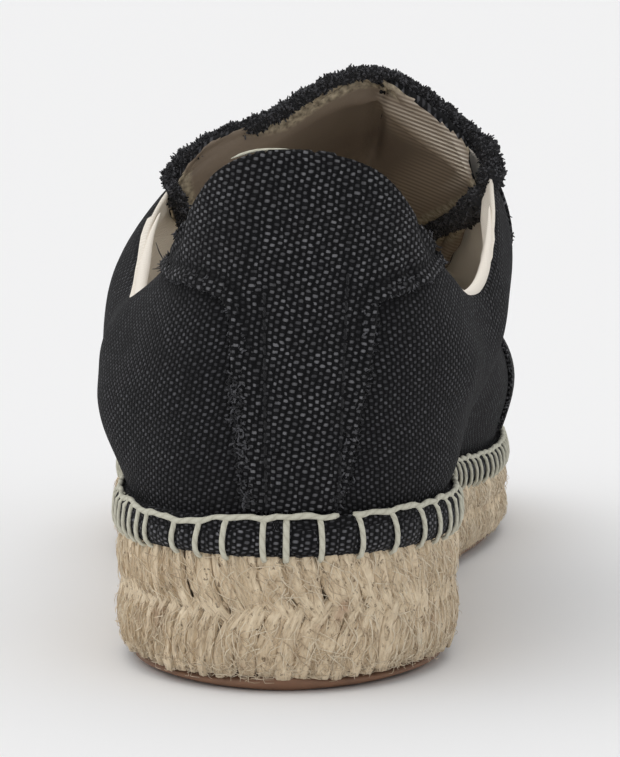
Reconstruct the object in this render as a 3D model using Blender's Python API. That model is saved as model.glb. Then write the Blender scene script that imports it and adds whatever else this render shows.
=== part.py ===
"""A left canvas sneaker on a braided jute sole, with raw frayed edges.

Frame while modelling: X across the shoe, plus to the medial (big toe) side; Y along it, from the back
of the heel at 0 to the toe; Z up from the floor. At the end everything is moved so that the origin is
the middle of the shoe on the floor. Sizes are in millimetres here, and MM turns them into metres.
"""

import bisect
import math

import bmesh
import bpy
import numpy as np
from mathutils import Vector

MM = 0.001

# Driving dimensions, in mm.
LENGTH = 286.0  # of the sole, heel to toe
HEEL_ROUND = 47.0  # how far the rounding of the heel runs forward
TOE_ROUND = 58.0  # and that of the toe backward
TOE_SPRING = 8.0  # lift of the sole's underside at the toe tip
SPRING_START = 206.0  # Y where it starts to lift
RUBBER = 3.0  # thickness of the outsole
GAP = 0.3  # between pieces that touch
WALL = 1.8  # canvas and lining together
OVERLAY = 1.0  # thickness of a canvas overlay
OVERLAY_GAP = 0.45  # under it: a little more, as both are made of flat faces
INSOLE = 3.0
TONGUE_WALL = 2.0
FRINGE_WALL = 3.2  # the tongue's frayed border is a thick roll of loose yarn
FRINGE = 3.5  # width of that border
LOCK = 1.1  # how far the border's locks stick out past the yarn between them
SHARP_FROM = 35.0  # degrees: edges sharper than this stay sharp when shaded

LATERAL, MEDIAL = -1, 1
SIDES = (LATERAL, MEDIAL)

# The sole at stations along Y: half widths to either side of the heel's axis, height of the plaited side
# above the ground, and height of the canvas margin that is sewn on above it.
SOLE = [
    # name, y, lateral, medial, jute, band
    ("heel end", 0.0, 33.8, 33.8, 26.6, 6.5),
    ("heel", 38.0, 34.0, 34.0, 26.6, 6.5),
    ("seat front", 78.0, 34.0, 32.0, 26.0, 6.4),
    ("waist", 118.0, 35.5, 30.5, 22.6, 6.2),
    ("joint back", 152.0, 41.5, 36.5, 18.6, 5.8),
    ("lateral ball", 182.0, 46.4, 43.8, 17.3, 5.5),
    ("medial ball", 206.0, 46.2, 46.8, 17.2, 5.4),
    ("toe root", 238.0, 43.6, 46.0, 17.0, 5.4),
    ("toe", 264.0, 41.0, 44.0, 17.0, 5.4),
    ("toe end", LENGTH, 38.0, 44.0, 17.0, 5.4),
]

# The collar's rim, from the top of the heel tab to the front corner of the quarter. Foot is the Y of the
# sole's edge under each point, and x, y, z is the rim. Flare and lean are the wall's tilt in degrees,
# outward at the sole and inward at the rim. Full and crown say how far up and down the wall keeps those
# tilts, as shares of its height.
COLLAR = {
    LATERAL: [
        # name, foot, x, y, z, flare, lean, full, crown
        ("tab middle", 0.0, 2.5, 6.5, 101.6, 6.0, 8.0, 0.38, 0.38),
        ("tab top", 0.7, -4.8, 6.9, 101.4, 8.0, 8.0, 0.38, 0.38),
        ("tab corner", 3.0, -11.2, 9.4, 97.6, 11.0, 10.0, 0.39, 0.39),
        ("tab side", 7.0, -15.2, 13.5, 91.2, 15.0, 14.0, 0.40, 0.40),
        ("wing", 14.0, -19.9, 21.0, 83.2, 19.0, 19.0, 0.42, 0.42),
        ("wing tip", 24.0, -24.2, 31.0, 78.2, 22.0, 25.0, 0.43, 0.43),
        ("under ankle", 52.0, -31.6, 55.0, 71.2, 26.0, 36.0, 0.45, 0.45),
        ("rise", 78.0, -31.2, 78.0, 80.6, 27.0, 36.0, 0.44, 0.44),
        ("quarter corner", 96.0, -28.8, 96.0, 90.0, 26.0, 34.0, 0.43, 0.43),
    ],
    MEDIAL: [
        ("tab middle", 0.0, 2.5, 6.5, 101.6, 6.0, 8.0, 0.38, 0.38),
        ("tab top", 0.7, 9.8, 6.9, 101.2, 8.0, 8.0, 0.38, 0.38),
        ("tab corner", 3.0, 17.4, 9.0, 98.4, 10.0, 8.0, 0.39, 0.39),
        ("tab side", 7.0, 22.8, 12.6, 92.2, 13.0, 10.0, 0.40, 0.40),
        ("wing", 14.0, 27.0, 19.5, 84.8, 16.0, 14.0, 0.42, 0.42),
        ("wing tip", 24.0, 30.6, 29.0, 78.6, 20.0, 18.0, 0.43, 0.43),
        ("under ankle", 52.0, 36.6, 55.0, 70.8, 24.0, 26.0, 0.45, 0.45),
        ("rise", 78.0, 41.2, 78.0, 81.0, 24.0, 28.0, 0.44, 0.42),
        ("quarter corner", 96.0, 41.2, 96.0, 92.0, 24.0, 28.0, 0.43, 0.42),
    ],
}

# The instep: its middle line, and half of the gap that the throat leaves open on either side of it.
THROAT = [
    # name, foot, x, y, z, gap
    ("facing top", 122.0, 13.5, 112.0, 106.0, 21.0),
    ("upper throat", 138.0, 11.5, 131.0, 96.6, 17.5),
    ("middle throat", 156.0, 9.2, 151.0, 86.2, 14.5),
    ("lower throat", 173.0, 7.2, 170.0, 76.2, 10.5),
    ("throat root", 185.0, 6.0, 184.0, 69.4, 6.0),
    ("vamp point", 193.0, 5.4, 193.0, 65.4, 0.0),
]
THROAT_ARCH = 36.0  # radius of the instep across the throat
THROAT_TILTS = {  # flare, lean, full and crown at its two ends
    LATERAL: ((24.0, 42.0, 0.44, 0.42), (24.0, 84.0, 0.58, 0.42)),
    MEDIAL: ((22.0, 38.0, 0.44, 0.40), (26.0, 84.0, 0.62, 0.42)),
}

# The ridge of the closed forefoot: each row is where the wall that starts at foot ends.
RIDGE = [
    # name, foot, x, y, z, flare, full, crown
    ("vamp", 214.0, 4.8, 211.0, 58.4, 24.0, 0.60, 0.43),
    ("toe box", 238.0, 4.4, 229.0, 52.4, 20.0, 0.56, 0.44),
    ("toe crown", 260.0, 4.2, 243.0, 48.8, 18.0, 0.54, 0.45),
    ("toe front", 277.0, 4.0, 252.0, 47.0, 18.0, 0.52, 0.46),
    ("toe tip", LENGTH, 3.9, 256.5, 46.2, 18.0, 0.52, 0.46),
]

# Columns of the upper's wall: how many there are between two values of foot on each side.
COLUMNS = [(0.0, 14.0, 6), (14.0, 96.0, 8), (96.0, 122.0, 4), (122.0, 193.0, 7), (193.0, LENGTH, 12)]
WALL_ROWS = 8
# The sewn margin: height above its top, the first two as shares of the band, and how far out from the edge.
MARGIN = [(-1.0, 0.0), (-0.5, 0.7), (0.0, 0.3), (0.3, -1.5), (1.0, -2.0)]

# The edges of the outsole and the insole, from their undersides up: height, and how far out.
OUTSOLE_EDGE = [(0.0, -4.4), (0.8, -3.2), (RUBBER, -2.6)]
INSOLE_EDGE = [(0.0, -0.7), (0.9, 0.0), (INSOLE - 0.8, 0.0), (INSOLE, -1.2)]

# The braid on the sole's side: share of its height, how far it stands out from the edge, the strands'
# relief, and how far a strand has drifted round the sole by then, in strands.
BRAID = [
    # share, out, relief, drift
    (0.00, -2.4, 0.0, 0.0),
    (0.07, -1.2, 0.6, -0.05),
    (0.25, -0.2, 1.2, -0.25),
    (0.43, -0.4, 1.1, -0.45),
    (0.50, -1.3, 0.6, -0.5),
    (0.57, -0.4, 1.1, -0.3),
    (0.76, 0.0, 1.2, 0.35),
    (0.93, -0.4, 0.9, 0.9),
    (1.00, -1.2, 0.0, 1.1),
]
STRANDS = 88  # around the sole

# The tongue lies inside the quarters and follows the upper's columns there: foot of the column, the share
# of the wall's height down to which each edge reaches, the ridge's y, and how far the ridge stands above
# the instep line.
TONGUE = [
    # name, foot, lateral, medial, y, lift
    ("root", 203.0, 0.86, 0.86, 202.0, -4.9),
    ("lower", 181.0, 0.80, 0.80, 178.0, -3.2),
    ("middle", 158.0, 0.77, 0.77, 153.0, -0.8),
    ("upper", 138.0, 0.76, 0.78, 131.0, 1.0),
    ("facing", 122.0, 0.77, 0.80, 115.0, 3.6),
    ("collar", 103.0, 0.82, 0.84, 108.0, 3.2),
]
# Its top edge stands free: the two corners and the peak between them.
TONGUE_CORNER = {LATERAL: (-20.6, 97.4, 97.2), MEDIAL: (34.8, 97.0, 99.6)}
TONGUE_PEAK = (14.6, 104.0, 115.4)
TONGUE_PUFF = 0.05  # how far each half is rounded out from fold to quarter, as a share of its width
TONGUE_SHOULDER = 0.24  # share of the fall from peak to corner that comes at the corner
TONGUE_ROWS = 14  # under the quarters
FREE_ROWS = 3  # above them
SIDE_POINTS = 4  # across, under each quarter
ARCH_POINTS = 6  # across, from there to the ridge
UNDER_EDGE = 0.96  # share of the wall's height where that starts, just under the quarter's edge
TONGUE_INSIDE = WALL + 3 * GAP + FRINGE_WALL / 2  # from the upper's outside to the middle of the tongue

# The heel overlay: how far round the back strip reaches at the sole and at its neck, as foot, and shares
# of the wall's height.
BACK_STRIP = {LATERAL: (0.95, 1.6), MEDIAL: (3.4, 3.6)}
STRIP_LOW = 0.02  # where the back strip starts, above the sewn margin
WING_END = 23.0  # foot of the wings' tips
NECK = {LATERAL: 0.57, MEDIAL: 0.61}  # where the wing's lower edge meets the back strip
WING_LOW = {LATERAL: 0.975, MEDIAL: 0.97}  # where it ends at the tip

# The other overlays: how far the facing reaches down from the throat, and where the toe guard's top edge
# is, as shares of the wall's height.
FACING = [
    # name, foot, depth
    ("back", 108.0, 0.30),
    ("facing top", 122.0, 0.33),
    ("middle throat", 156.0, 0.34),
    ("throat root", 185.0, 0.32),
    ("end", 208.0, 0.16),
]
TOE_GUARD = [
    # name, foot, top edge
    ("back", 186.0, 0.40),
    ("ball", 214.0, 0.50),
    ("side", 250.0, 0.62),
    ("tip", LENGTH, 0.76),
]
GUARD_LOW = 0.03  # and its lower edge


def smooth(keys, values):
    """A smooth curve through the points that never swings past them (monotone cubic Hermite)."""
    x, v = np.array(keys, float), np.array(values, float)
    step, rise = np.diff(x), np.diff(v)
    slope = rise / step
    tangent = np.zeros_like(v)
    tangent[0], tangent[-1] = slope[0], slope[-1]
    for i in range(1, len(v) - 1):
        if slope[i - 1] * slope[i] > 0:
            before, after = 2 * step[i] + step[i - 1], step[i] + 2 * step[i - 1]
            tangent[i] = (before + after) / (before / slope[i - 1] + after / slope[i])

    def value(at):
        at = min(max(at, x[0]), x[-1])
        i = min(max(bisect.bisect_right(x, at) - 1, 0), len(step) - 1)
        t = (at - x[i]) / step[i]
        return (
            v[i] * (1 + 2 * t) * (1 - t) ** 2
            + tangent[i] * step[i] * t * (1 - t) ** 2
            + v[i + 1] * t * t * (3 - 2 * t)
            - tangent[i + 1] * step[i] * t * t * (1 - t)
        )

    return value


def turn(y):
    """The share of the way from heel to toe along the sole's edge, spaced like a circle's angle."""
    return math.acos(1 - 2 * min(max(y / LENGTH, 0.0), 1.0)) / math.pi


def station(at):
    """The Y that turn gives this share."""
    return LENGTH * (1 - math.cos(math.pi * at)) / 2


def column(rows, index):
    """One value of a table as a curve over the share of the way along the sole's edge."""
    return smooth([turn(row[1]) for row in rows], [row[index] for row in rows])


lateral_width, medial_width, jute_height, band_height = (column(SOLE, i) for i in (2, 3, 4, 5))


def ground(y):
    """The height of the sole's underside at y."""
    return TOE_SPRING * (max(0.0, y - SPRING_START) / (LENGTH - SPRING_START)) ** 2


def jute_top(y):
    return ground(y) + jute_height(turn(y))


def margin_top(y):
    """The height of the sewn margin's top, where the upper's wall starts."""
    return jute_top(y) + band_height(turn(y))


def rounding(y):
    """1 along the middle of the sole, falling to 0 at its two ends as an ellipse does."""
    heel = max(0.0, 1 - y / HEEL_ROUND)
    toe = max(0.0, 1 - (LENGTH - y) / TOE_ROUND)
    return math.sqrt(max(0.0, 1 - heel * heel)) * math.sqrt(max(0.0, 1 - toe * toe))


def edge(side, at):
    """(x, y) of the sole's edge."""
    y = station(at)
    middle = (medial_width(at) - lateral_width(at)) / 2
    half = (medial_width(at) + lateral_width(at)) / 2
    return np.array([middle + side * half * rounding(y), y])


def outward(side, at):
    """The unit normal of the sole's edge, in plan."""
    small = 1e-3
    first, last = (edge(side, min(max(at + d, 0.0), 1.0)) for d in (-small, small))
    if at < small:
        first = last * (-1, 1)
    if at > 1 - small:
        last = first * (-1, 1) + np.array([2 * edge(side, 1.0)[0], 0.0])
    along = last - first
    normal = np.array([along[1], -along[0]]) * side
    return normal / np.linalg.norm(normal)


def beside(side, at, out, height, above=0.0):
    """A point that far out from the sole's edge, and that far above a height that is a function of y."""
    x, y = edge(side, at) + outward(side, at) * out
    return np.array([x, y, height(y) + above])


def margin(side, at, step):
    """A point of the sewn margin's outside."""
    above, out = MARGIN[step]
    x, y, z = beside(side, at, out, margin_top)
    return np.array([x, y, z + above * (band_height(at) if above < 0 else 1.0)])


def rim_curves(side, closed):
    """The wall's end as curves x, y, z, flare, lean, full and crown: along the collar and the throat's
    edge, or, where the forefoot is closed, along the ridge that both sides share."""
    rows = [] if closed else [row[1:] for row in COLLAR[side]]
    start, end = THROAT[0][1], THROAT[-1][1]
    for _, foot, x, y, z, gap in THROAT:
        gap = 0.0 if closed else gap
        share = (foot - start) / (end - start)
        tilts = [a + (b - a) * share for a, b in zip(*THROAT_TILTS[side])]
        rows.append((foot, x + side * gap, y, z - gap * gap / (2 * THROAT_ARCH), *tilts))
    if closed:
        rows += [(foot, x, y, z, flare, 90.0, full, crown) for _, foot, x, y, z, flare, full, crown in RIDGE]
    return [smooth([turn(row[0]) for row in rows], [row[i] for row in rows]) for i in range(1, 8)]


RIM = {(side, closed): rim_curves(side, closed) for side in SIDES for closed in (False, True)}
VAMP_POINT = turn(THROAT[-1][1])  # where the two sides of the upper meet


def wall_point(side, at, up):
    """A point of the upper's outside: up runs from 0 above the sewn margin to 1 at the rim or the ridge."""
    x, y, z, flare, lean, full, crown = (curve(at) for curve in RIM[side, at >= VAMP_POINT])
    start = margin(side, at, -1)
    end = np.array([x, y, z])
    out = np.append(outward(side, at), 0.0)
    rise = np.array([0.0, 0.0, 1.0])
    height = np.linalg.norm(end - start)
    flare, lean = math.radians(flare), math.radians(lean)
    low = start + full * height * (out * math.sin(flare) + rise * math.cos(flare))
    high = end + crown * height * (out * math.sin(lean) - rise * math.cos(lean))
    down = 1 - up
    return down**3 * start + 3 * down * down * up * low + 3 * down * up * up * high + up**3 * end


def side_normal(side, at, up):
    """The outward normal of the upper's outside, worked out on one side alone."""
    small = 2e-3
    ahead, behind = min(at + small, 1.0), max(at - small, 0.0)
    higher, lower = min(up + small, 1.0), max(up - small, 0.0)
    along = wall_point(side, ahead, up) - wall_point(side, behind, up)
    climb = wall_point(side, at, higher) - wall_point(side, at, lower)
    normal = np.cross(along, climb) * side
    return normal / np.linalg.norm(normal)


def wall_normal(side, at, up):
    """The same, but the mean of both sides where they join."""
    joined = at in (0.0, 1.0) or (up == 1 and at >= VAMP_POINT)
    normal = side_normal(side, at, up) + (side_normal(-side, at, up) if joined else 0.0)
    return normal / np.linalg.norm(normal)


def raised(side, at, up, by):
    """A point that far off the upper's outside."""
    return wall_point(side, at, up) + wall_normal(side, at, up) * by


def spread(first, last, count):
    """Evenly spaced shares of the way along the edge, between two values of foot."""
    a, b = turn(first), turn(last)
    return [a + (b - a) * i / count for i in range(count)] + [b]


def columns(first, last):
    """The upper's columns between two values of foot, as shares of the way along the edge."""
    shares = sorted({at for a, b, count in COLUMNS for at in spread(a, b, count)})
    return [at for at in shares if turn(first) <= at <= turn(last)]


def finish(bm, name, material, weld=1e-3):
    """Makes an object of a bmesh in millimetres: doubles welded, faces pointing out, shaded smooth."""
    bmesh.ops.remove_doubles(bm, verts=bm.verts, dist=weld)
    bmesh.ops.recalc_face_normals(bm, faces=bm.faces)
    bmesh.ops.scale(bm, vec=(MM, MM, MM), verts=bm.verts)
    mesh = bpy.data.meshes.new(name)
    bm.to_mesh(mesh)
    bm.free()
    mesh.materials.append(material)
    mesh.shade_smooth()
    mesh.set_sharp_from_angle(angle=math.radians(SHARP_FROM))
    obj = bpy.data.objects.new(name, mesh)
    bpy.context.scene.collection.objects.link(obj)
    return obj


def grid(bm, rows, closed=False):
    """Faces between rows of points, and the rows of vertices. A closed grid joins each row's ends."""
    made = [[bm.verts.new(Vector(point)) for point in row] for row in rows]
    for low, high in zip(made, made[1:]):
        ends = zip(low, low[1:] + low[:1], high[1:] + high[:1], high)
        for corners in list(ends)[: None if closed else -1]:
            bm.faces.new(corners)
    return made


def new_material(name, colour, roughness, metallic=0.0):
    made = bpy.data.materials.new(name)
    made.use_nodes = True
    shader = made.node_tree.nodes["Principled BSDF"]
    shader.inputs["Base Color"].default_value = (*colour, 1.0)
    shader.inputs["Roughness"].default_value = roughness
    shader.inputs["Metallic"].default_value = metallic
    return made


def around(count):
    """(side, share) pairs round the whole sole, from the heel up the lateral side and back."""
    half = count // 2
    lateral = [(LATERAL, i / half) for i in range(half)]
    return lateral + [(MEDIAL, 1 - i / half) for i in range(half)]


def layers(rings, name, material):
    """A closed solid through rings of points. Each end is a ladder of faces from side to side, so that it
    curves along the shoe only."""
    bm = bmesh.new()
    made = grid(bm, rings, closed=True)
    for ring in (made[0], made[-1]):
        half = len(ring) // 2
        for i in range(half):
            corners = [ring[i], ring[i + 1], ring[-i - 1], ring[-i if i else 0]]
            bm.faces.new(list(dict.fromkeys(corners)))
    return finish(bm, name, material)


def outsole(rubber):
    """The thin rubber sole, a little smaller than the jute."""
    rings = [[beside(s, a, out, ground, z) for s, a in around(96)] for z, out in OUTSOLE_EDGE]
    return layers(rings, "outsole", rubber)


def spaced(side):
    """The share of the way along the sole's edge, from its length as a share of that side's whole length."""
    shares = [i / 360 for i in range(361)]
    points = np.array([edge(side, at) for at in shares])
    travelled = np.concatenate([[0.0], np.cumsum(np.linalg.norm(np.diff(points, axis=0), axis=1))])
    return lambda travel: float(np.interp(travel * travelled[-1], travelled, shares))


def midsole(jute):
    """The plaited jute sole: two plaits on its side, and a step round its top under the canvas margin."""
    lateral, medial = spaced(LATERAL), spaced(MEDIAL)

    def place(strand):
        """(side, share) at a number of strands round from the heel, up the lateral side and back."""
        travel = (strand / STRANDS * 2) % 2
        return (LATERAL, lateral(travel)) if travel <= 1 else (MEDIAL, medial(2 - travel))

    def plait_height(share):
        low, high = RUBBER + GAP, jute_height
        return lambda y: ground(y) + low + (high(turn(y)) - GAP - low) * share

    rings = []
    for share, out, relief, drift in BRAID:
        ends = [place(i / 2 + drift) for i in range(2 * STRANDS)]
        height = plait_height(share)
        rings.append([beside(s, a, out - relief * (i % 2), height) for i, (s, a) in enumerate(ends)])
    step = MARGIN[0][1] - WALL - 2 * GAP
    ends = [place(i / 2) for i in range(2 * STRANDS)]
    rings.append([beside(s, a, step, jute_top, -GAP) for s, a in ends])
    rings.append([beside(s, a, step, margin_top, -WALL - 2 * GAP) for s, a in ends])
    return layers(rings, "midsole", jute)


def insole(cloth):
    """The footbed, inside the upper's wall."""
    inset = MARGIN[-1][1] - WALL - GAP
    rings = []
    for z, out in INSOLE_EDGE:
        rings.append([beside(s, a, inset + out, margin_top, z - WALL - GAP) for s, a in around(48)])
    return layers(rings, "insole", cloth)


def upper(canvas):
    """The whole canvas upper, one wall: sewn margin, quarters, heel tab, facings and vamp."""
    shares = columns(0.0, LENGTH)
    bm = bmesh.new()
    for side in SIDES:
        rows = [[margin(side, at, step) for at in shares] for step in range(len(MARGIN) - 1)]
        for row in range(WALL_ROWS + 1):
            rows.append([wall_point(side, at, row / WALL_ROWS) for at in shares])
        grid(bm, rows)
    obj = finish(bm, "upper", canvas)
    wall = obj.modifiers.new("wall", "SOLIDIFY")
    wall.thickness = WALL * MM
    wall.offset = -1.0
    wall.use_even_offset = True
    return obj


def overlay(name, canvas, strips):
    """A canvas overlay: strips are grids of (side, share, up), laid just clear of the upper's outside."""
    bm = bmesh.new()
    for strip in strips:
        grid(bm, [[raised(*place, OVERLAY_GAP) for place in row] for row in strip])
    obj = finish(bm, name, canvas, weld=0.02)
    thick = obj.modifiers.new("cloth", "SOLIDIFY")
    thick.thickness = OVERLAY * MM
    thick.offset = 1.0
    return obj


def heel_overlay(canvas):
    """The T at the back: the heel tab with its two wings, and the strip down to the sole."""
    low_neck, high_neck = sorted(NECK.values())
    heights = [*np.linspace(STRIP_LOW, low_neck, 5), *np.linspace(high_neck, 1.0, 5)]
    strips = []
    for side in SIDES:
        strip_edge = smooth([0.0, NECK[side]], [turn(foot) for foot in BACK_STRIP[side]])
        strips.append([[(side, strip_edge(up) * i / 3, up) for i in range(4)] for up in heights])
        wing = spread(BACK_STRIP[side][1], WING_END, 6)
        low = smooth([wing[0], wing[-1]], [NECK[side], WING_LOW[side]])
        above = [(up - NECK[side]) / (1 - NECK[side]) for up in heights if up >= NECK[side]]
        strips.append([[(side, at, low(at) + (1 - low(at)) * share) for at in wing] for share in above])
    return overlay("heel_overlay", canvas, strips)


def facing(canvas):
    """The overlay along the throat: down both quarters and across the vamp in front of it."""
    depth = column(FACING, 2)
    shares = columns(FACING[0][1], FACING[-1][1])
    downs = np.linspace(1.0, 0.0, 5)
    strips = [[[(side, at, 1 - depth(at) * down) for at in shares] for down in downs] for side in SIDES]
    return overlay("facing", canvas, strips)


def toe_guard(canvas):
    """The overlay round the toe, low at the ball and higher round the tip."""
    shares = columns(TOE_GUARD[0][1], LENGTH)
    high = column(TOE_GUARD, 2)
    parts = np.linspace(0.0, 1.0, 8)
    strips = []
    for side in SIDES:
        rows = [[(side, at, GUARD_LOW + (high(at) - GUARD_LOW) * part) for at in shares] for part in parts]
        strips.append(rows)
    return overlay("toe_guard", canvas, strips)


def instep(y):
    """(x, z) of the middle line of the instep."""
    rows = THROAT + RIDGE
    return [smooth([row[3] for row in rows], [row[i] for row in rows])(y) for i in (2, 4)]


def covered_row(along):
    """A row of the tongue's middle surface where the quarters cover its sides; along runs from its root."""
    keys = range(len(TONGUE))
    foot, lateral, medial, y, lift = (smooth(keys, [row[i] for row in TONGUE])(along) for i in range(1, 6))
    x, z = instep(y)
    ridge = np.array([x, y, z + lift])
    at = turn(foot)
    row = []
    for side, reach in ((LATERAL, lateral), (MEDIAL, medial)):
        ups = np.linspace(reach, UNDER_EDGE, SIDE_POINTS)
        half = [raised(side, at, up, -TONGUE_INSIDE) for up in ups]
        start = half[-1]
        width = np.linalg.norm(ridge - start)
        for i in range(1, ARCH_POINTS):
            puff = np.array([0.0, 0.0, width * TONGUE_PUFF * math.sin(math.pi * i / ARCH_POINTS)])
            half.append(start + (ridge - start) * i / ARCH_POINTS + puff)
        row.append(half)
    return [*row[0], ridge, *reversed(row[1])]


def top_edge():
    """The tongue's free top edge, as many points as a covered row has."""
    peak = np.array(TONGUE_PEAK)
    halves = []
    for side in SIDES:
        corner = np.array(TONGUE_CORNER[side])
        half = []
        for i in range(SIDE_POINTS + ARCH_POINTS - 1):
            away = 1 - i / (SIDE_POINTS + ARCH_POINTS - 1)
            fall = (1 - TONGUE_SHOULDER) * away + TONGUE_SHOULDER * away**6
            half.append(peak + (corner - peak) * np.array([away, away, fall]))
        halves.append(half)
    return [*halves[0], peak, *reversed(halves[1])]


def beyond(first, second, far):
    """The point that far from second, on the line that runs to it from first."""
    way = second - first
    return second + way / np.linalg.norm(way) * far


def tongue(canvas):
    """The tongue, folded along its middle like a roof, with a thick frayed border on its sides and top."""
    last = len(TONGUE) - 1
    rows = [covered_row(last * i / (TONGUE_ROWS - 1)) for i in range(TONGUE_ROWS)]
    below, edge_row = rows[-1], top_edge()
    for i in range(1, FREE_ROWS + 1):
        rows.append([a + (b - a) * i / FREE_ROWS for a, b in zip(below, edge_row)])
    rows.insert(-1, [beyond(a, b, -FRINGE) for a, b in zip(rows[-2], rows[-1])])
    for i, row in enumerate(rows):
        row.insert(1, beyond(row[1], row[0], -FRINGE))
        row.insert(-1, beyond(row[-2], row[-1], -FRINGE))
        lock = LOCK * (i % 2) if i < TONGUE_ROWS - 1 else 0.0
        row[0] = beyond(row[1], row[0], lock)
        row[-1] = beyond(row[-2], row[-1], lock)
    rows[-1] = [beyond(a, b, LOCK * (i % 2)) for i, (a, b) in enumerate(zip(rows[-2], rows[-1]))]
    bm = bmesh.new()
    layer = bm.verts.layers.deform.verify()
    made = grid(bm, rows)
    frayed = {v for row in made for v in (row[0], row[-1])} | set(made[-1])
    for vert in bm.verts:
        vert[layer][0] = 1.0 if vert in frayed else TONGUE_WALL / FRINGE_WALL
    obj = finish(bm, "tongue", canvas)
    obj.vertex_groups.new(name="thickness")
    cloth = obj.modifiers.new("cloth", "SOLIDIFY")
    cloth.thickness = FRINGE_WALL * MM
    cloth.vertex_group = "thickness"
    cloth.offset = 0.0
    return obj


def stand_on_origin(objects):
    """Moves every mesh so that the middle of the whole shoe, on the floor, is the origin."""
    bpy.context.view_layer.update()
    graph = bpy.context.evaluated_depsgraph_get()
    corners = []
    for obj in objects:
        shape = obj.evaluated_get(graph).to_mesh()
        corners += [v.co.copy() for v in shape.vertices]
    low, high = (Vector(f(c[i] for c in corners) for i in range(3)) for f in (min, max))
    shift = Vector(((low.x + high.x) / 2, (low.y + high.y) / 2, low.z))
    for obj in objects:
        for vert in obj.data.vertices:
            vert.co -= shift
    print("moved by, mm:", [round(-c / MM, 2) for c in shift])


def main():
    for obj in list(bpy.data.objects):
        bpy.data.objects.remove(obj)
    black = new_material("black_canvas", (0.022, 0.022, 0.025), 0.92)
    pieces = [
        outsole(new_material("brown_rubber", (0.165, 0.085, 0.050), 0.62)),
        midsole(new_material("jute", (0.50, 0.39, 0.26), 0.95)),
        insole(new_material("cream_cloth", (0.55, 0.48, 0.38), 0.9)),
        upper(black),
        heel_overlay(black),
        facing(black),
        toe_guard(black),
        tongue(black),
    ]
    stand_on_origin(pieces)


main()
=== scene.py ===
# %% [markdown]
# # A left canvas sneaker on a braided jute sole
#
# The shoe is a low sneaker in black washed canvas. Its edges are left raw, so they fray, and it stands on
# the plaited jute sole of an espadrille, which is sewn on with a thick blanket stitch. The construction
# model gives every piece its true form. This script dresses it: it smooths the cloth, puts in creases,
# weave, lining, thread, frayed ends and jute fibres, and sets the light and the camera.
#
# All lengths are in metres. X runs across the shoe, towards the big toe's side. Y runs from heel to toe,
# and Z up.

import math
import random

import bmesh
import bpy
import numpy as np
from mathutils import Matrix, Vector
from mathutils.bvhtree import BVHTree


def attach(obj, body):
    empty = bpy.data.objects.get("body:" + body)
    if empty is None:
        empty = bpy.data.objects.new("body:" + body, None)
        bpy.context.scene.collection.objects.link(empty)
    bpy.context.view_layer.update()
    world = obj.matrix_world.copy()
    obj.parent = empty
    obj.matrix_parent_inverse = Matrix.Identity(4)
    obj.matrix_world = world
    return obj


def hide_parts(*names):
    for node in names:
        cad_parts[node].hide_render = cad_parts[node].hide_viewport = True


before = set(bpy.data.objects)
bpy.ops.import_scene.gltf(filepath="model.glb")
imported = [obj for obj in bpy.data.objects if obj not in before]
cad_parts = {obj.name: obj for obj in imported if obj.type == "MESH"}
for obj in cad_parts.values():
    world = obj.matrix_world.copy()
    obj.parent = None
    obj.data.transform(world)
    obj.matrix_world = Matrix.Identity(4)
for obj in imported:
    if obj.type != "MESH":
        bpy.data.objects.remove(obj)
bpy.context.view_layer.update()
MM = 0.001
BODY = "root"
bpy.ops.object.select_all(action="DESELECT")

# %% [markdown]
# ## The camera
#
# A camera is an object with a lens. Here it stands behind the heel, a little above it, and looks down by
# about six degrees. It is two thirds of a metre away and has a long lens, which keeps the perspective mild:
# the far toe is drawn about two thirds as large as the heel.

# %% Camera
CAMERA_AT = Vector((27.6, -798.4, 132.7)) * MM
LOOK_DOWN = math.radians(6.31)
LOOK_LEFT = math.radians(1.92)
LENS = 205.0

bpy.ops.object.camera_add(location=CAMERA_AT, rotation=(math.pi / 2 - LOOK_DOWN, 0.0, LOOK_LEFT))
camera = bpy.context.object
camera.name = "camera"
camera.data.lens = LENS
camera.data.sensor_fit = "HORIZONTAL"
camera.data.sensor_width = 36.0
camera.data.clip_start, camera.data.clip_end = 0.05, 200.0
bpy.context.scene.camera = camera

# %% [markdown]
# ## The floor
#
# In a studio the pale floor melts into the background. A large disc does that when the world behind it has
# the same tone. The Standard view transform lets a colour come out of the render as it goes into a material.

# %% Floor
def set_on(shader, **values):
    """Sets a shader's own sockets, by their names."""
    for name, value in values.items():
        shader.inputs[name.replace("_", " ")].default_value = value


bpy.context.scene.view_settings.view_transform = "Standard"
bpy.ops.mesh.primitive_circle_add(vertices=128, radius=60.0, fill_type="NGON", location=(0, 0, 0))
floor = bpy.context.object
floor.name = "floor"
floor_material = bpy.data.materials.new("pale_floor")
floor_material.use_nodes = True
set_on(floor_material.node_tree.nodes["Principled BSDF"], Base_Color=(0.90, 0.90, 0.905, 1.0), Roughness=0.95,
       Specular_IOR_Level=0.1)
floor.data.materials.append(floor_material)

# %% [markdown]
# ## The light
#
# Studio light comes from all round, so the white world gives most of it. Suns add a direction. A sun's angle
# says how wide it is, and one as wide as a soft box casts no hard shadow. A very wide one stands nearly
# overhead, a weaker one on the left, and a faint, low one faces the heel.

# %% Light
world = bpy.data.worlds.new("studio")
bpy.context.scene.world = world
world.use_nodes = True
set_on(world.node_tree.nodes["Background"], Color=(1.0, 1.0, 1.0, 1.0), Strength=0.59)


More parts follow.
